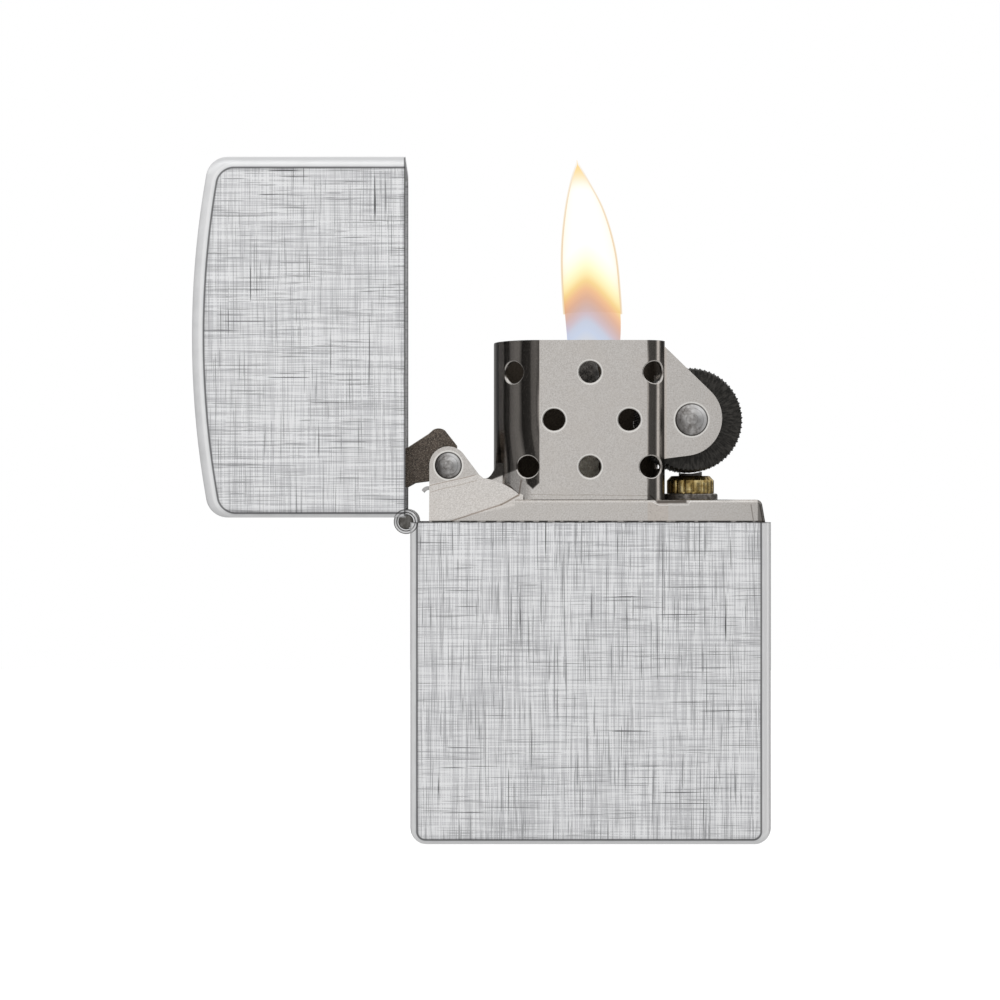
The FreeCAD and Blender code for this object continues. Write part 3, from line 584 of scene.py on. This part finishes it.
def make_rivet_steel():
    """Rivet heads, mottled where they were pressed, with painted light where they face right and up, painted
    shade where they face left and down, and a painted dark line of shade round each.
    """
    s = Shader("rivet_steel", (0.5, 0.48, 0.47), 1.0, 0.3)
    blotches = s.noise(2.2, 4.0, (1, 1, 1), 4.0, 0.65)
    grain = s.noise(12.0, 2.0, (1, 1, 1), 8.0)
    color = s.ramp(blotches, [(0.30, (0.15, 0.135, 0.125)), (0.44, (0.36, 0.345, 0.335)),
                              (0.66, (0.62, 0.61, 0.60))])
    x, _, z = s.split(s.place)
    normal_x, _, normal_z = s.split(s.normal)
    # Painted light on the side facing right and up, painted shade on the side facing left and down
    facing_light = s.plus(normal_x, s.times(normal_z, 0.35))
    color = s.mix(s.fade(facing_light, 0.0, 0.45, 0.0, 0.75), color, (0.86, 0.86, 0.86))
    color = s.mix(s.fade(facing_light, -0.5, -0.1, 0.65, 0.0), color, (0.13, 0.12, 0.115))
    for centre, radius in RIVET_EDGES:
        distance = distance_from(s, x, z, centre)
        for turning in (0.35, 0.7):
            line = ring(s, distance, turning * radius, 0.07)
            color = s.mix(s.times(line, 0.35), color, (0.12, 0.11, 0.10))
        # Painted shade round the edge of each head
        edge = ring(s, distance, radius - 0.04, 0.2)
        color = s.mix(s.times(edge, 0.85), color, (0.05, 0.045, 0.04))
    pin = s.fade(distance_from(s, x, z, HINGE_AXIS), 0.7, 0.8, 1.0, 0.0)
    color = s.mix(s.times(pin, 0.75), color, (0.07, 0.065, 0.055))
    s.set("Base Color", color)
    s.set("Roughness", s.fade(blotches, 0.3, 0.7, 0.5, 0.38))
    s.bump(s.plus(blotches, s.times(grain, 0.35)), 0.03, 0.4)
    return s.material


def make_cam_steel():
    """Sintered cam, dark brown with a light speckle."""
    s = Shader("cam_steel", (0.1, 0.08, 0.07), 0.55, 0.5)
    grain = s.noise(7.0, 4.0, (1, 1, 1), 6.0, 0.7)
    patches = s.noise(0.8, 3.0, (1, 1, 1), 15.0)
    specks = s.fade(s.noise(9.0, 1.0, (1, 1, 1), 28.0), 0.56, 0.68)
    color = s.mix(s.fade(grain, 0.36, 0.64), (0.03, 0.024, 0.019), (0.21, 0.17, 0.137))
    color = s.mix(s.fade(patches, 0.35, 0.7, 0.0, 0.6), color, (0.10, 0.078, 0.06))
    color = s.mix(s.times(specks, 0.7), color, (0.45, 0.39, 0.33))
    s.set("Base Color", color)
    s.set("Roughness", s.fade(grain, 0.3, 0.7, 0.36, 0.62))
    s.bump(grain, 0.05, 0.6)
    return s.material


WHEEL_RADIUS = half_size("striker_wheel").x / MM


def make_wheel_steel():
    """Hardened striker wheel: nearly black, with a painted glint on the tips of its teeth."""
    s = Shader("wheel_steel", (0.05, 0.047, 0.045), 0.6, 0.45)
    centre = middle("striker_wheel") / MM
    x, _, z = s.split(s.vector("SUBTRACT", s.place, tuple(centre)))
    radius = s.hypot(x, z)
    around = s.new("CombineXYZ")
    s.plug(around.inputs[0], s.times(s.math("ARCTAN2", z, x), 14.0))
    s.plug(around.inputs[1], s.times(radius, 0.8))
    lay = s.noise_at(around.outputs[0], 1.6, 3.0)
    grain = s.noise(8.0, 4.0, (1, 1, 1), 12.0, 0.7)
    color = s.mix(s.fade(lay, 0.35, 0.7), (0.014, 0.013, 0.0115), (0.055, 0.051, 0.046))
    color = s.mix(s.fade(grain, 0.5, 0.75, 0.0, 0.5), color, (0.115, 0.107, 0.098))
    # Painted glint on the tips of the teeth
    tips = s.fade(radius, WHEEL_RADIUS - 0.12, WHEEL_RADIUS)
    color = s.mix(s.times(tips, 0.35), color, (0.20, 0.185, 0.17))
    s.set("Base Color", color)
    s.set("Roughness", s.fade(grain, 0.3, 0.7, 0.33, 0.6))
    s.bump(s.plus(grain, lay), 0.04, 0.5)
    return s.material


def make_spring_steel():
    """Drawn or rolled spring stock with faint lines along it."""
    s = Shader("spring_steel", (0.5, 0.5, 0.5), 1.0, 0.28)
    lines = s.noise(1.0, 2.0, (0.6, 9.0, 2.0), 17.0)
    color = s.mix(s.fade(lines, 0.3, 0.7), (0.42, 0.41, 0.40), (0.62, 0.61, 0.60))
    s.set("Base Color", color)
    s.set("Roughness", s.fade(lines, 0.3, 0.7, 0.2, 0.36))
    s.bump(lines, 0.01, 0.4)
    return s.material


def make_brass():
    """Turned brass, tarnished in patches and darker along its turning rings."""
    s = Shader("brass", (0.6, 0.45, 0.2), 1.0, 0.28)
    patches = s.noise(1.4, 4.0, (1, 1, 1), 23.0, 0.6)
    turning = s.noise(1.0, 1.0, (0.3, 0.3, 12.0), 31.0)
    color = s.ramp(patches, [(0.3, (0.13, 0.085, 0.03)), (0.48, (0.46, 0.33, 0.12)),
                             (0.68, (0.80, 0.66, 0.34))])
    color = s.mix(s.fade(turning, 0.3, 0.7, 0.0, 0.25), color, (0.25, 0.17, 0.07))
    s.set("Base Color", color)
    s.set("Roughness", s.fade(patches, 0.3, 0.7, 0.42, 0.2))
    s.bump(s.plus(turning, patches), 0.02, 0.35)
    return s.material


def make_tube_flange():
    """Dull steel of the flint tube, stained brown in patches."""
    s = Shader("tube_flange", (0.3, 0.28, 0.26), 0.9, 0.42)
    patches = s.noise(1.8, 4.0, (1, 1, 1), 37.0, 0.6)
    turning = s.noise(1.0, 1.0, (0.3, 0.3, 10.0), 41.0)
    color = s.mix(s.fade(patches, 0.35, 0.7), (0.10, 0.088, 0.076), (0.34, 0.315, 0.29))
    s.set("Base Color", color)
    s.set("Roughness", s.fade(patches, 0.3, 0.7, 0.5, 0.3))
    s.bump(s.plus(turning, patches), 0.03, 0.4)
    return s.material


def make_flint():
    """Pressed flint rod, dark and slightly gritty."""
    s = Shader("flint", (0.2, 0.19, 0.18), 0.5, 0.55)
    grain = s.noise(8.0, 4.0, (1, 1, 1), 43.0, 0.7)
    rings = s.noise(1.0, 1.0, (0.5, 0.5, 5.0), 47.0)
    color = s.mix(s.fade(grain, 0.3, 0.7), (0.09, 0.083, 0.077), (0.28, 0.265, 0.25))
    s.set("Base Color", color)
    s.set("Roughness", s.fade(grain, 0.3, 0.7, 0.45, 0.7))
    s.bump(s.plus(grain, rings), 0.03, 0.5)
    return s.material


def make_wick():
    """Braided cord, cream in the tank and charred black at the tip."""
    s = Shader("wick", (0.75, 0.7, 0.6), 0.0, 0.9)
    _, _, place_z = s.split(s.place)
    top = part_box("wick")[1].z / MM
    yarn = s.noise(1.0, 2.0, (9.0, 9.0, 5.0), 53.0)
    burn = s.plus(place_z, s.times(s.noise(1.2, 3.0, (1, 1, 1), 59.0), 3.0))
    clean = s.mix(s.fade(yarn, 0.3, 0.7), (0.50, 0.45, 0.36), (0.80, 0.76, 0.67))
    charred = s.mix(s.fade(yarn, 0.3, 0.7), (0.018, 0.016, 0.015), (0.11, 0.10, 0.09))
    s.set("Base Color", s.mix(s.fade(burn, top - 6.5, top - 1.5), clean, charred))
    s.set("Sheen Weight", 0.25)
    s.bump(yarn, 0.08, 0.6)
    return s.material


def make_packing():
    """Loose cotton."""
    s = Shader("packing", (0.9, 0.88, 0.84), 0.0, 0.95)
    fibres = s.noise(3.0, 6.0, (1, 1, 2.5), 61.0, 0.75)
    patches = s.noise(0.3, 3.0, (1, 1, 1), 67.0)
    color = s.mix(s.fade(fibres, 0.3, 0.7), (0.74, 0.71, 0.64), (0.93, 0.92, 0.89))
    s.set("Base Color", s.mix(s.fade(patches, 0.4, 0.7, 0.0, 0.3), color, (0.82, 0.77, 0.66)))
    s.set("Sheen Weight", 0.4)
    s.bump(fibres, 0.35, 0.8)
    return s.material


def make_felt():
    """Pressed felt with short crossed hairs."""
    s = Shader("felt", (0.8, 0.78, 0.72), 0.0, 0.95)
    hairs = s.noise(2.5, 5.0, (2.2, 1, 1), 71.0, 0.7)
    crossed = s.noise(2.5, 5.0, (1, 2.2, 1), 73.0, 0.7)
    both = s.plus(hairs, crossed)
    s.set("Base Color", s.mix(s.fade(both, 0.7, 1.3), (0.55, 0.52, 0.45), (0.84, 0.81, 0.74)))
    s.set("Sheen Weight", 0.35)
    s.bump(both, 0.15, 0.7)
    return s.material


MATERIALS = {
    "case_steel": make_case_steel(),
    "insert_steel": make_insert_steel(),
    "rivet_steel": make_rivet_steel(),
    "cam_steel": make_cam_steel(),
    "wheel_steel": make_wheel_steel(),
    "spring_steel": make_spring_steel(),
    "brass": make_brass(),
    "tube_flange": make_tube_flange(),
    "flint": make_flint(),
    "wick": make_wick(),
    "packing": make_packing(),
    "felt": make_felt(),
}


def dress(piece, slot):
    """Gives a piece one material."""
    piece.data.materials.clear()
    piece.data.materials.append(MATERIALS[slot])


# Rounds on the edges of stamped and pressed pieces, in millimetres
EDGE_ROUNDS = {"chimney": 0.07, "cam": 0.12}


def dress_cad_nodes():
    """Each CAD node takes the material of its slot in the record."""
    for entry in frame["record"]["subparts"]:
        dress(nodes[entry["node"]], entry["material_slot"])
    for node, width in EDGE_ROUNDS.items():
        soften(nodes[node], width)


def soften(piece, width):
    """Small round on a piece's sharp edges."""
    edges = piece.modifiers.new("edges", "BEVEL")
    edges.width = width * MM
    edges.segments = 2
    edges.limit_method = "ANGLE"
    edges.angle_limit = math.radians(50)
    edges.use_clamp_overlap = True


# ---------------------------------------------------------------- meshes


def mesh_piece(name, points, faces, slot=None, body=None):
    """Links a smooth mesh given in metres, with its material and its body."""
    mesh = bpy.data.meshes.new(name)
    mesh.from_pydata(points, [], faces)
    mesh.validate()
    piece = bpy.data.objects.new(name, mesh)
    bpy.context.scene.collection.objects.link(piece)
    fix_normals(mesh)
    mesh.polygons.foreach_set("use_smooth", [True] * len(mesh.polygons))
    if slot:
        mesh.materials.append(MATERIALS[slot])
    if body:
        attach(piece, body)
    return piece


def fix_normals(mesh):
    """Turns every face outwards."""
    work = bmesh.new()
    work.from_mesh(mesh)
    bmesh.ops.recalc_face_normals(work, faces=work.faces)
    work.to_mesh(mesh)
    work.free()


def quads(rows, segments, closed):
    """Faces between rows of points that go round; the last row joins the first where closed."""
    faces = []
    for row in range(rows if closed else rows - 1):
        after = (row + 1) % rows
        for step in range(segments):
            beside = (step + 1) % segments
            faces.append((row * segments + step, row * segments + beside,
                          after * segments + beside, after * segments + step))
    return faces


def lathe(centre, axis, rings, segments, radius_at):
    """Ring of sections turned about Y or Z through centre.

    Each ring is (radius, distance along the axis) in millimetres. The rings run round the section
    and close on themselves. radius_at gives the radius at a ring's radius, distance and angle.
    """
    points = []
    for radius, along in rings:
        for step in range(segments):
            angle = 2 * math.pi * step / segments
            reach = radius_at(radius, along, angle)
            a, b = reach * math.cos(angle) * MM, reach * math.sin(angle) * MM
            offset = Vector((a, along * MM, b)) if axis == "y" else Vector((a, b, along * MM))
            points.append(centre + offset)
    return points, quads(len(rings), segments, True)


def wave(value):
    """Triangle wave from 0 to 1, of period 1."""
    return abs((value % 1.0) - 0.5) * 2.0


WHEEL_TEETH = 66
KNURL_PITCH = 0.55
KNURL_DEPTH = 0.24
TREAD_ROWS = 28
TREAD_BEVEL = 0.3
BEVEL_DROP = 0.16
WEB_DEPTH = 0.34


def striker_wheel():
    """Wheel with a diamond-cut rim, bevelled shoulders and a dished web on each side."""
    centre = middle("striker_wheel")
    wide = half_size("striker_wheel").y / MM

    def knurled(radius, along, angle):
        if radius < WHEEL_RADIUS - 0.01:
            return radius
        turn = angle * WHEEL_TEETH / (2 * math.pi)
        slant = along / KNURL_PITCH
        cut = min(wave(turn + 0.5 * slant), wave(turn - 0.5 * slant))
        taper = min(1.0, (wide - abs(along)) / TREAD_BEVEL)
        return radius - KNURL_DEPTH * (1.0 - cut) - BEVEL_DROP * (1.0 - taper)

    web = wide - WEB_DEPTH
    side = [(WHEEL_RADIUS - 0.36, wide), (3.3, wide), (3.2, wide - 0.12), (3.1, web), (2.3, web),
            (2.12, wide - 0.2), (2.0, wide), (1.1, wide), (0.98, wide - 0.1)]
    edge = wide - 0.02
    tread = [(WHEEL_RADIUS, edge * (2 * step / TREAD_ROWS - 1)) for step in range(TREAD_ROWS + 1)]
    rings = tread + side + [(radius, -along) for radius, along in reversed(side)]
    points, faces = lathe(centre, "y", rings, WHEEL_TEETH * 8, knurled)
    piece = mesh_piece("striker_wheel_knurled", points, faces, "wheel_steel", "wheel")
    piece.data.set_sharp_from_angle(angle=math.radians(34))
    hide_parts("striker_wheel")


COLLAR_FLUTES = 16
COLLAR_BORE = 1.35
FLUTE_DEPTH = 0.15


def flint_collar():
    """Brass collar with rounded flutes between a plain foot and a chamfered top."""
    centre = middle("flint_tube_collar")
    half = half_size("flint_tube_collar")
    outer = half.x / MM
    tall = half.z / MM

    def fluted(radius, along, angle):
        if radius < outer - 0.3 or abs(along) > tall - 0.02:
            return radius
        lobe = abs(math.sin(0.5 * COLLAR_FLUTES * angle))
        return radius - FLUTE_DEPTH * (1.0 - lobe ** 0.45)

    rings = [(outer - 0.06, -tall), (outer, -tall + 0.06), (outer, -tall + 0.3), (outer, 0.0),
             (outer, tall - 0.52), (outer - 0.04, tall - 0.46), (outer - 0.42, tall - 0.05),
             (outer - 0.5, tall), (COLLAR_BORE + 0.1, tall), (COLLAR_BORE, tall - 0.1), (COLLAR_BORE, -tall)]
    points, faces = lathe(centre, "z", rings, COLLAR_FLUTES * 10, fluted)
    piece = mesh_piece("flint_tube_collar_fluted", points, faces, "brass", "case")
    piece.data.set_sharp_from_angle(angle=math.radians(40))
    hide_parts("flint_tube_collar")


WICK_STRANDS = 5
WICK_LAY = 5.2
WICK_ROWS = 190
BURNT_LENGTH = 1.6


def wick_braid():
    """Cord of crossing strands, its burnt end frayed and rounded."""
    low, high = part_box("wick")
    centre = (low + high) / 2
    centre.z = 0.0
    outer = half_size("wick").x / MM
    bottom, top = low.z / MM, high.z / MM

    def braided(radius, along, angle):
        turn = WICK_STRANDS * angle
        rise = WICK_STRANDS * 2 * math.pi * along / WICK_LAY
        left = abs(math.cos(0.5 * (turn + rise)))
        right = abs(math.cos(0.5 * (turn - rise)))
        over = math.sin(turn) * math.sin(rise)
        relief = max(left * (0.85 + 0.15 * over), right * (0.85 - 0.15 * over))
        worn = max(0.0, (along - top + BURNT_LENGTH) / BURNT_LENGTH)
        ragged = noise.noise(Vector((3 * math.cos(angle), 3 * math.sin(angle), along * 2.0)))
        return radius * (0.84 + 0.15 * relief - 0.42 * worn ** 2 + 0.07 * worn * ragged)

    rings = [(outer * 0.45, bottom)]
    length = top - bottom - 0.25
    rings += [(outer, bottom + 0.15 + length * row / WICK_ROWS) for row in range(WICK_ROWS + 1)]
    rings += [(outer * 0.62, top), (0.02, top - 0.12), (0.02, bottom + 0.05)]
    points, faces = lathe(centre, "z", rings, 60, braided)
    piece = mesh_piece("wick_braid", points, faces, "wick", "case")
    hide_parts("wick")


def copy_of(node, ending):
    """Free copy of a CAD node's object, at the same place."""
    piece = nodes[node].copy()
    piece.data = nodes[node].data.copy()
    piece.name = node + ending
    for key in list(piece.keys()):
        del piece[key]
    piece.parent = None
    bpy.context.scene.collection.objects.link(piece)
    return piece


def flint_coil():
    """Copy of the flint's spring, in spring steel, carried with the case."""
    joints = frame["record"]["behaviour"]["joints"]
    slide = next(joint for joint in joints if joint["name"] == "flint_slide")
    travel = max(abs(limit) for limit in slide["range_m"])
    piece = copy_of("flint_spring", "_coil")
    dress(piece, "spring_steel")
    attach(piece, "case")
    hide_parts("flint_spring")
    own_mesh(piece)


def soft_copy(node, slot, voxel, depth, scale):
    """Soft copy of a CAD solid, with its outline, holes and place, its faces made uneven inwards."""
    piece = copy_of(node, "_soft")
    remesh = piece.modifiers.new("remesh", "REMESH")
    remesh.mode = "VOXEL"
    remesh.voxel_size = voxel * MM
    bpy.context.view_layer.update()
    evaluated = piece.evaluated_get(bpy.context.evaluated_depsgraph_get())
    mesh = bpy.data.meshes.new_from_object(evaluated)
    piece.modifiers.clear()
    piece.data = mesh
    for vertex in mesh.vertices:
        swell = noise.fractal(vertex.co * (scale / MM), 1.0, 2.0, 3)
        vertex.co -= vertex.normal * depth * MM * (0.5 + 0.5 * max(-1.0, min(1.0, swell)))
    mesh.polygons.foreach_set("use_smooth", [True] * len(mesh.polygons))
    dress(piece, slot)
    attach(piece, "case")
    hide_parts(node)


def soft_pieces():
    """The cotton wads and the felt pad inside the tank."""
    for node in sorted(nodes):
        if node.startswith("cotton_wad"):
            soft_copy(node, "packing", voxel=0.45, depth=0.5, scale=0.35)
    soft_copy("felt_pad", "felt", voxel=0.35, depth=0.12, scale=0.8)


# ---------------------------------------------------------------- flame

# Height, middle and half width of the flame, in millimetres
FLAME_LEVELS = (
    (51.6, 0.55, 1.6), (52.4, 0.65, 2.75), (54.4, 0.72, 3.14), (59.1, 0.44, 3.22), (63.5, 0.14, 3.0),
    (67.8, -0.29, 2.17), (71.1, -0.82, 0.99), (73.2, -1.1, 0.03),
)


def flame_at(height):
    """Middle and half width of the flame at a height, on a smooth curve through its levels."""
    last = len(FLAME_LEVELS) - 1
    index = 0
    while index < last - 1 and height > FLAME_LEVELS[index + 1][0]:
        index += 1
    low, high = FLAME_LEVELS[index], FLAME_LEVELS[index + 1]
    span = high[0] - low[0]
    share = (height - low[0]) / span
    found = []
    for column in (1, 2):
        leaving = span * flame_slope(index, column)
        arriving = span * flame_slope(index + 1, column)
        found.append(cubic(low[column], high[column], leaving, arriving, share))
    return found


def flame_slope(index, column):
    """Slope of the flame's outline at one of its levels, from the levels beside it."""
    before = FLAME_LEVELS[max(index - 1, 0)]
    after = FLAME_LEVELS[min(index + 1, len(FLAME_LEVELS) - 1)]
    return (after[column] - before[column]) / (after[0] - before[0])


def cubic(start, end, leaving, arriving, share):
    """Value on the smooth curve from start to end with the given slopes."""
    gap = end - start
    bend = share * share * (3 - 2 * share)
    out = share * (1 - share) ** 2 * leaving
    back = share * share * (share - 1) * arriving
    return start + bend * gap + out + back


FLAME_FLATNESS = 0.8


def flame_surface(name, bottom, inset, material):
    """Skin of the flame from a height up, set in from its outline by inset millimetres."""
    top = FLAME_LEVELS[-1][0]
    rows, segments = 90, 48
    points = []
    for row in range(rows + 1):
        height = bottom + (top - bottom) * row / rows
        shift, half = flame_at(height)
        half = max(0.02, half - inset)
        for step in range(segments):
            angle = 2 * math.pi * step / segments
            x = shift + half * math.cos(angle)
            y = FLAME_FLATNESS * half * math.sin(angle)
            points.append((x * MM, y * MM, height * MM))
    faces = quads(rows + 1, segments, False)
    faces.append(tuple(reversed(range(segments))))
    faces.append(tuple(rows * segments + step for step in range(segments)))
    piece = mesh_piece(name, points, faces)
    piece.data.materials.append(material)
    return piece


# Flame colours by height above its orange arch, in millimetres
FLAME_TONES = (
    (-5.5, (0.60, 0.62, 0.67)), (-4.4, (0.53, 0.59, 0.72)), (-3.5, (0.53, 0.565, 0.67)),
    (-2.65, (0.58, 0.474, 0.51)), (-1.8, (0.61, 0.434, 0.40)), (-0.9, (0.69, 0.43, 0.32)),
    (0.0, (0.81, 0.50, 0.30)), (0.87, (0.87, 0.65, 0.31)), (1.7, (0.94, 0.84, 0.49)),
    (2.6, (0.965, 0.94, 0.66)), (3.6, (0.99, 0.965, 0.84)), (5.0, (1.0, 1.0, 1.0)),
)
ARCH_X = -0.25
ARCH_Z = 59.0
ARCH_SLOPE = 1.1
ARCH_ROUND = 0.8
GLOW = 1.12


def flame_core_material():
    """Pale blue at the wick, an orange arch above it, a white body and a golden tip."""
    s = Shader("flame_core")
    x, _, z = s.split(s.place)
    reach = s.hypot(s.minus(x, ARCH_X), ARCH_ROUND)
    drop = s.times(s.minus(reach, ARCH_ROUND), ARCH_SLOPE)
    level = s.plus(s.minus(z, ARCH_Z), drop)
    low, high = FLAME_TONES[0][0], FLAME_TONES[-1][0]
    share = s.times(s.minus(level, low), 1.0 / (high - low))
    color = s.ramp(share, [((at - low) / (high - low), tone) for at, tone in FLAME_TONES])
    left_edge = s.times(s.fade(x, -2.7, -1.7, 1.0, 0.0), s.fade(level, -3.0, -1.5, 1.0, 0.0))
    color = s.mix(s.times(left_edge, 0.6), color, (0.40, 0.48, 0.72))
    color = s.mix(s.fade(z, 69.5, 72.6), color, (0.93, 0.70, 0.34))
    glow = s.new("Emission")
    s.plug(glow.inputs["Color"], color)
    s.plug(glow.inputs["Strength"], GLOW)
    s.plug(s.tree.nodes["Material Output"].inputs["Surface"], glow.outputs[0])
    return s.material


MANTLE_THICK = 0.22
MANTLE_FOOT = 56.5
MANTLE_DENSITY = 950.0


def flame_mantle_material():
    """Thin golden skin that shows where the flame is seen edge on."""
    material = bpy.data.materials.new("flame_mantle")
    material.use_nodes = True
    m = Nodes(material.node_tree)
    m.tree.nodes.remove(m.tree.nodes["Principled BSDF"])
    thin = m.new("VolumeAbsorption")
    m.plug(thin.inputs["Color"], (0.90, 0.74, 0.48, 1.0))
    m.plug(thin.inputs["Density"], MANTLE_DENSITY)
    m.plug(m.tree.nodes["Material Output"].inputs["Volume"], thin.outputs[0])
    return material


def flame():
    """The flame stands on the wick as part of the setting."""
    core = flame_surface("flame_core", FLAME_LEVELS[0][0], MANTLE_THICK, flame_core_material())
    mantle = flame_surface("flame_mantle", MANTLE_FOOT, 0.0, flame_mantle_material())
    for skin in (core, mantle):
        skin.visible_shadow = False
        skin.visible_diffuse = False
        skin.visible_glossy = False
        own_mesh(skin)


# ---------------------------------------------------------------- setting


FLOOR_REACH = 0.2
FLOOR_DROP = 0.00002


def make_floor():
    """Pale floor that nearly glows, so that it runs into the background."""
    mesh = bpy.data.meshes.new("floor")
    corners = ((-1, -1), (1, -1), (1, 1), (-1, 1))
    points = [(x * FLOOR_REACH, y * FLOOR_REACH, -FLOOR_DROP) for x, y in corners]
    mesh.from_pydata(points, [], [(0, 1, 2, 3)])
    floor = bpy.data.objects.new("floor", mesh)
    bpy.context.scene.collection.objects.link(floor)
    s = Shader("floor_paint", (0.8, 0.8, 0.8), 0.0, 0.9)
    s.set("Specular IOR Level", 0.0)
    s.set("Emission Color", (1.0, 1.0, 1.0, 1.0))
    s.set("Emission Strength", 0.72)
    mesh.materials.append(s.material)
    floor.visible_glossy = False
    floor.visible_diffuse = False


# Brightness of the surroundings at eye level, by degrees from the camera's side towards +X
STUDIO = (
    (-180, 0.3), (-120, 0.3), (-60, 0.35), (-35, 0.45), (-20, 0.68), (-12, 0.80), (8, 0.80), (11, 0.62),
    (17, 0.22), (58, 0.2), (70, 0.6), (77, 1.0), (84, 0.6), (95, 0.12), (128, 0.1), (145, 0.3), (180, 0.3),
)
ABOVE = 0.92
BELOW = 0.55


def make_world():
    """White surroundings with dark gaps beside a soft front card, which draw streaks on round metal."""
    world = bpy.data.worlds.new("studio")
    bpy.context.scene.world = world
    world.use_nodes = True
    w = Nodes(world.node_tree)
    x, y, z = w.split(w.new("TexCoord").outputs["Generated"])
    side = w.math("ARCTAN2", x, w.times(y, -1.0))
    around = w.plus(w.times(side, 0.5 / math.pi), 0.5)
    level = w.greys(around, [(0.5 + angle / 360.0, value) for angle, value in STUDIO])
    steep = w.greys(w.size(z), [(0.0, 0.0), (0.26, 0.0), (0.42, 1.0), (1.0, 1.0)])
    sky = w.greys(w.plus(w.times(z, 0.5), 0.5), [(0.0, BELOW), (0.4, BELOW), (0.6, ABOVE), (1.0, ABOVE)])
    studio = w.tree.nodes["Background"]
    w.plug(studio.inputs["Color"], w.mix(steep, level, sky))
    plain = w.new("Background")
    w.plug(plain.inputs["Color"], (1.0, 1.0, 1.0, 1.0))
    choose = w.new("MixShader")
    w.plug(choose.inputs[0], w.new("LightPath").outputs["Is Camera Ray"])
    w.plug(choose.inputs[1], studio.outputs[0])
    w.plug(choose.inputs[2], plain.outputs[0])
    w.plug(w.tree.nodes["World Output"].inputs[0], choose.outputs[0])


def make_light(name, place, target, size, power):
    """Soft square lamp. Places and size are in metres, power in watts."""
    data = bpy.data.lights.new(name, "AREA")
    data.shape = "SQUARE"
    data.size = size
    data.energy = power
    lamp = bpy.data.objects.new(name, data)
    lamp.location = place
    lamp.rotation_euler = (Vector(target) - Vector(place)).to_track_quat("-Z", "Y").to_euler()
    lamp.visible_glossy = False
    bpy.context.scene.collection.objects.link(lamp)


CAMERA_PLACE = (-14.0, -206.4, 36.35)
CAMERA_LENS = 68.5
CAMERA_SHIFT = 0.042


def make_camera():
    """Level camera in front, between the lid and the case, its view shifted towards the case."""
    data = bpy.data.cameras.new("camera")
    data.sensor_width = 36.0
    data.lens = CAMERA_LENS
    data.shift_x = CAMERA_SHIFT
    data.clip_start = 0.005
    camera = bpy.data.objects.new("camera", data)
    camera.location = Vector(CAMERA_PLACE) * MM
    camera.rotation_euler = (math.radians(90), 0, 0)
    bpy.context.scene.collection.objects.link(camera)
    bpy.context.scene.camera = camera


def main():
    bpy.context.scene.view_settings.view_transform = "Standard"
    make_camera()
    make_floor()
    make_world()
    make_light("key", place=(-0.2, -0.5, 0.65), target=(0, 0, 0.035), size=0.4, power=2.45)
    dress_cad_nodes()
    striker_wheel()
    flint_collar()
    flint_coil()
    wick_braid()
    soft_pieces()
    flame()


main()
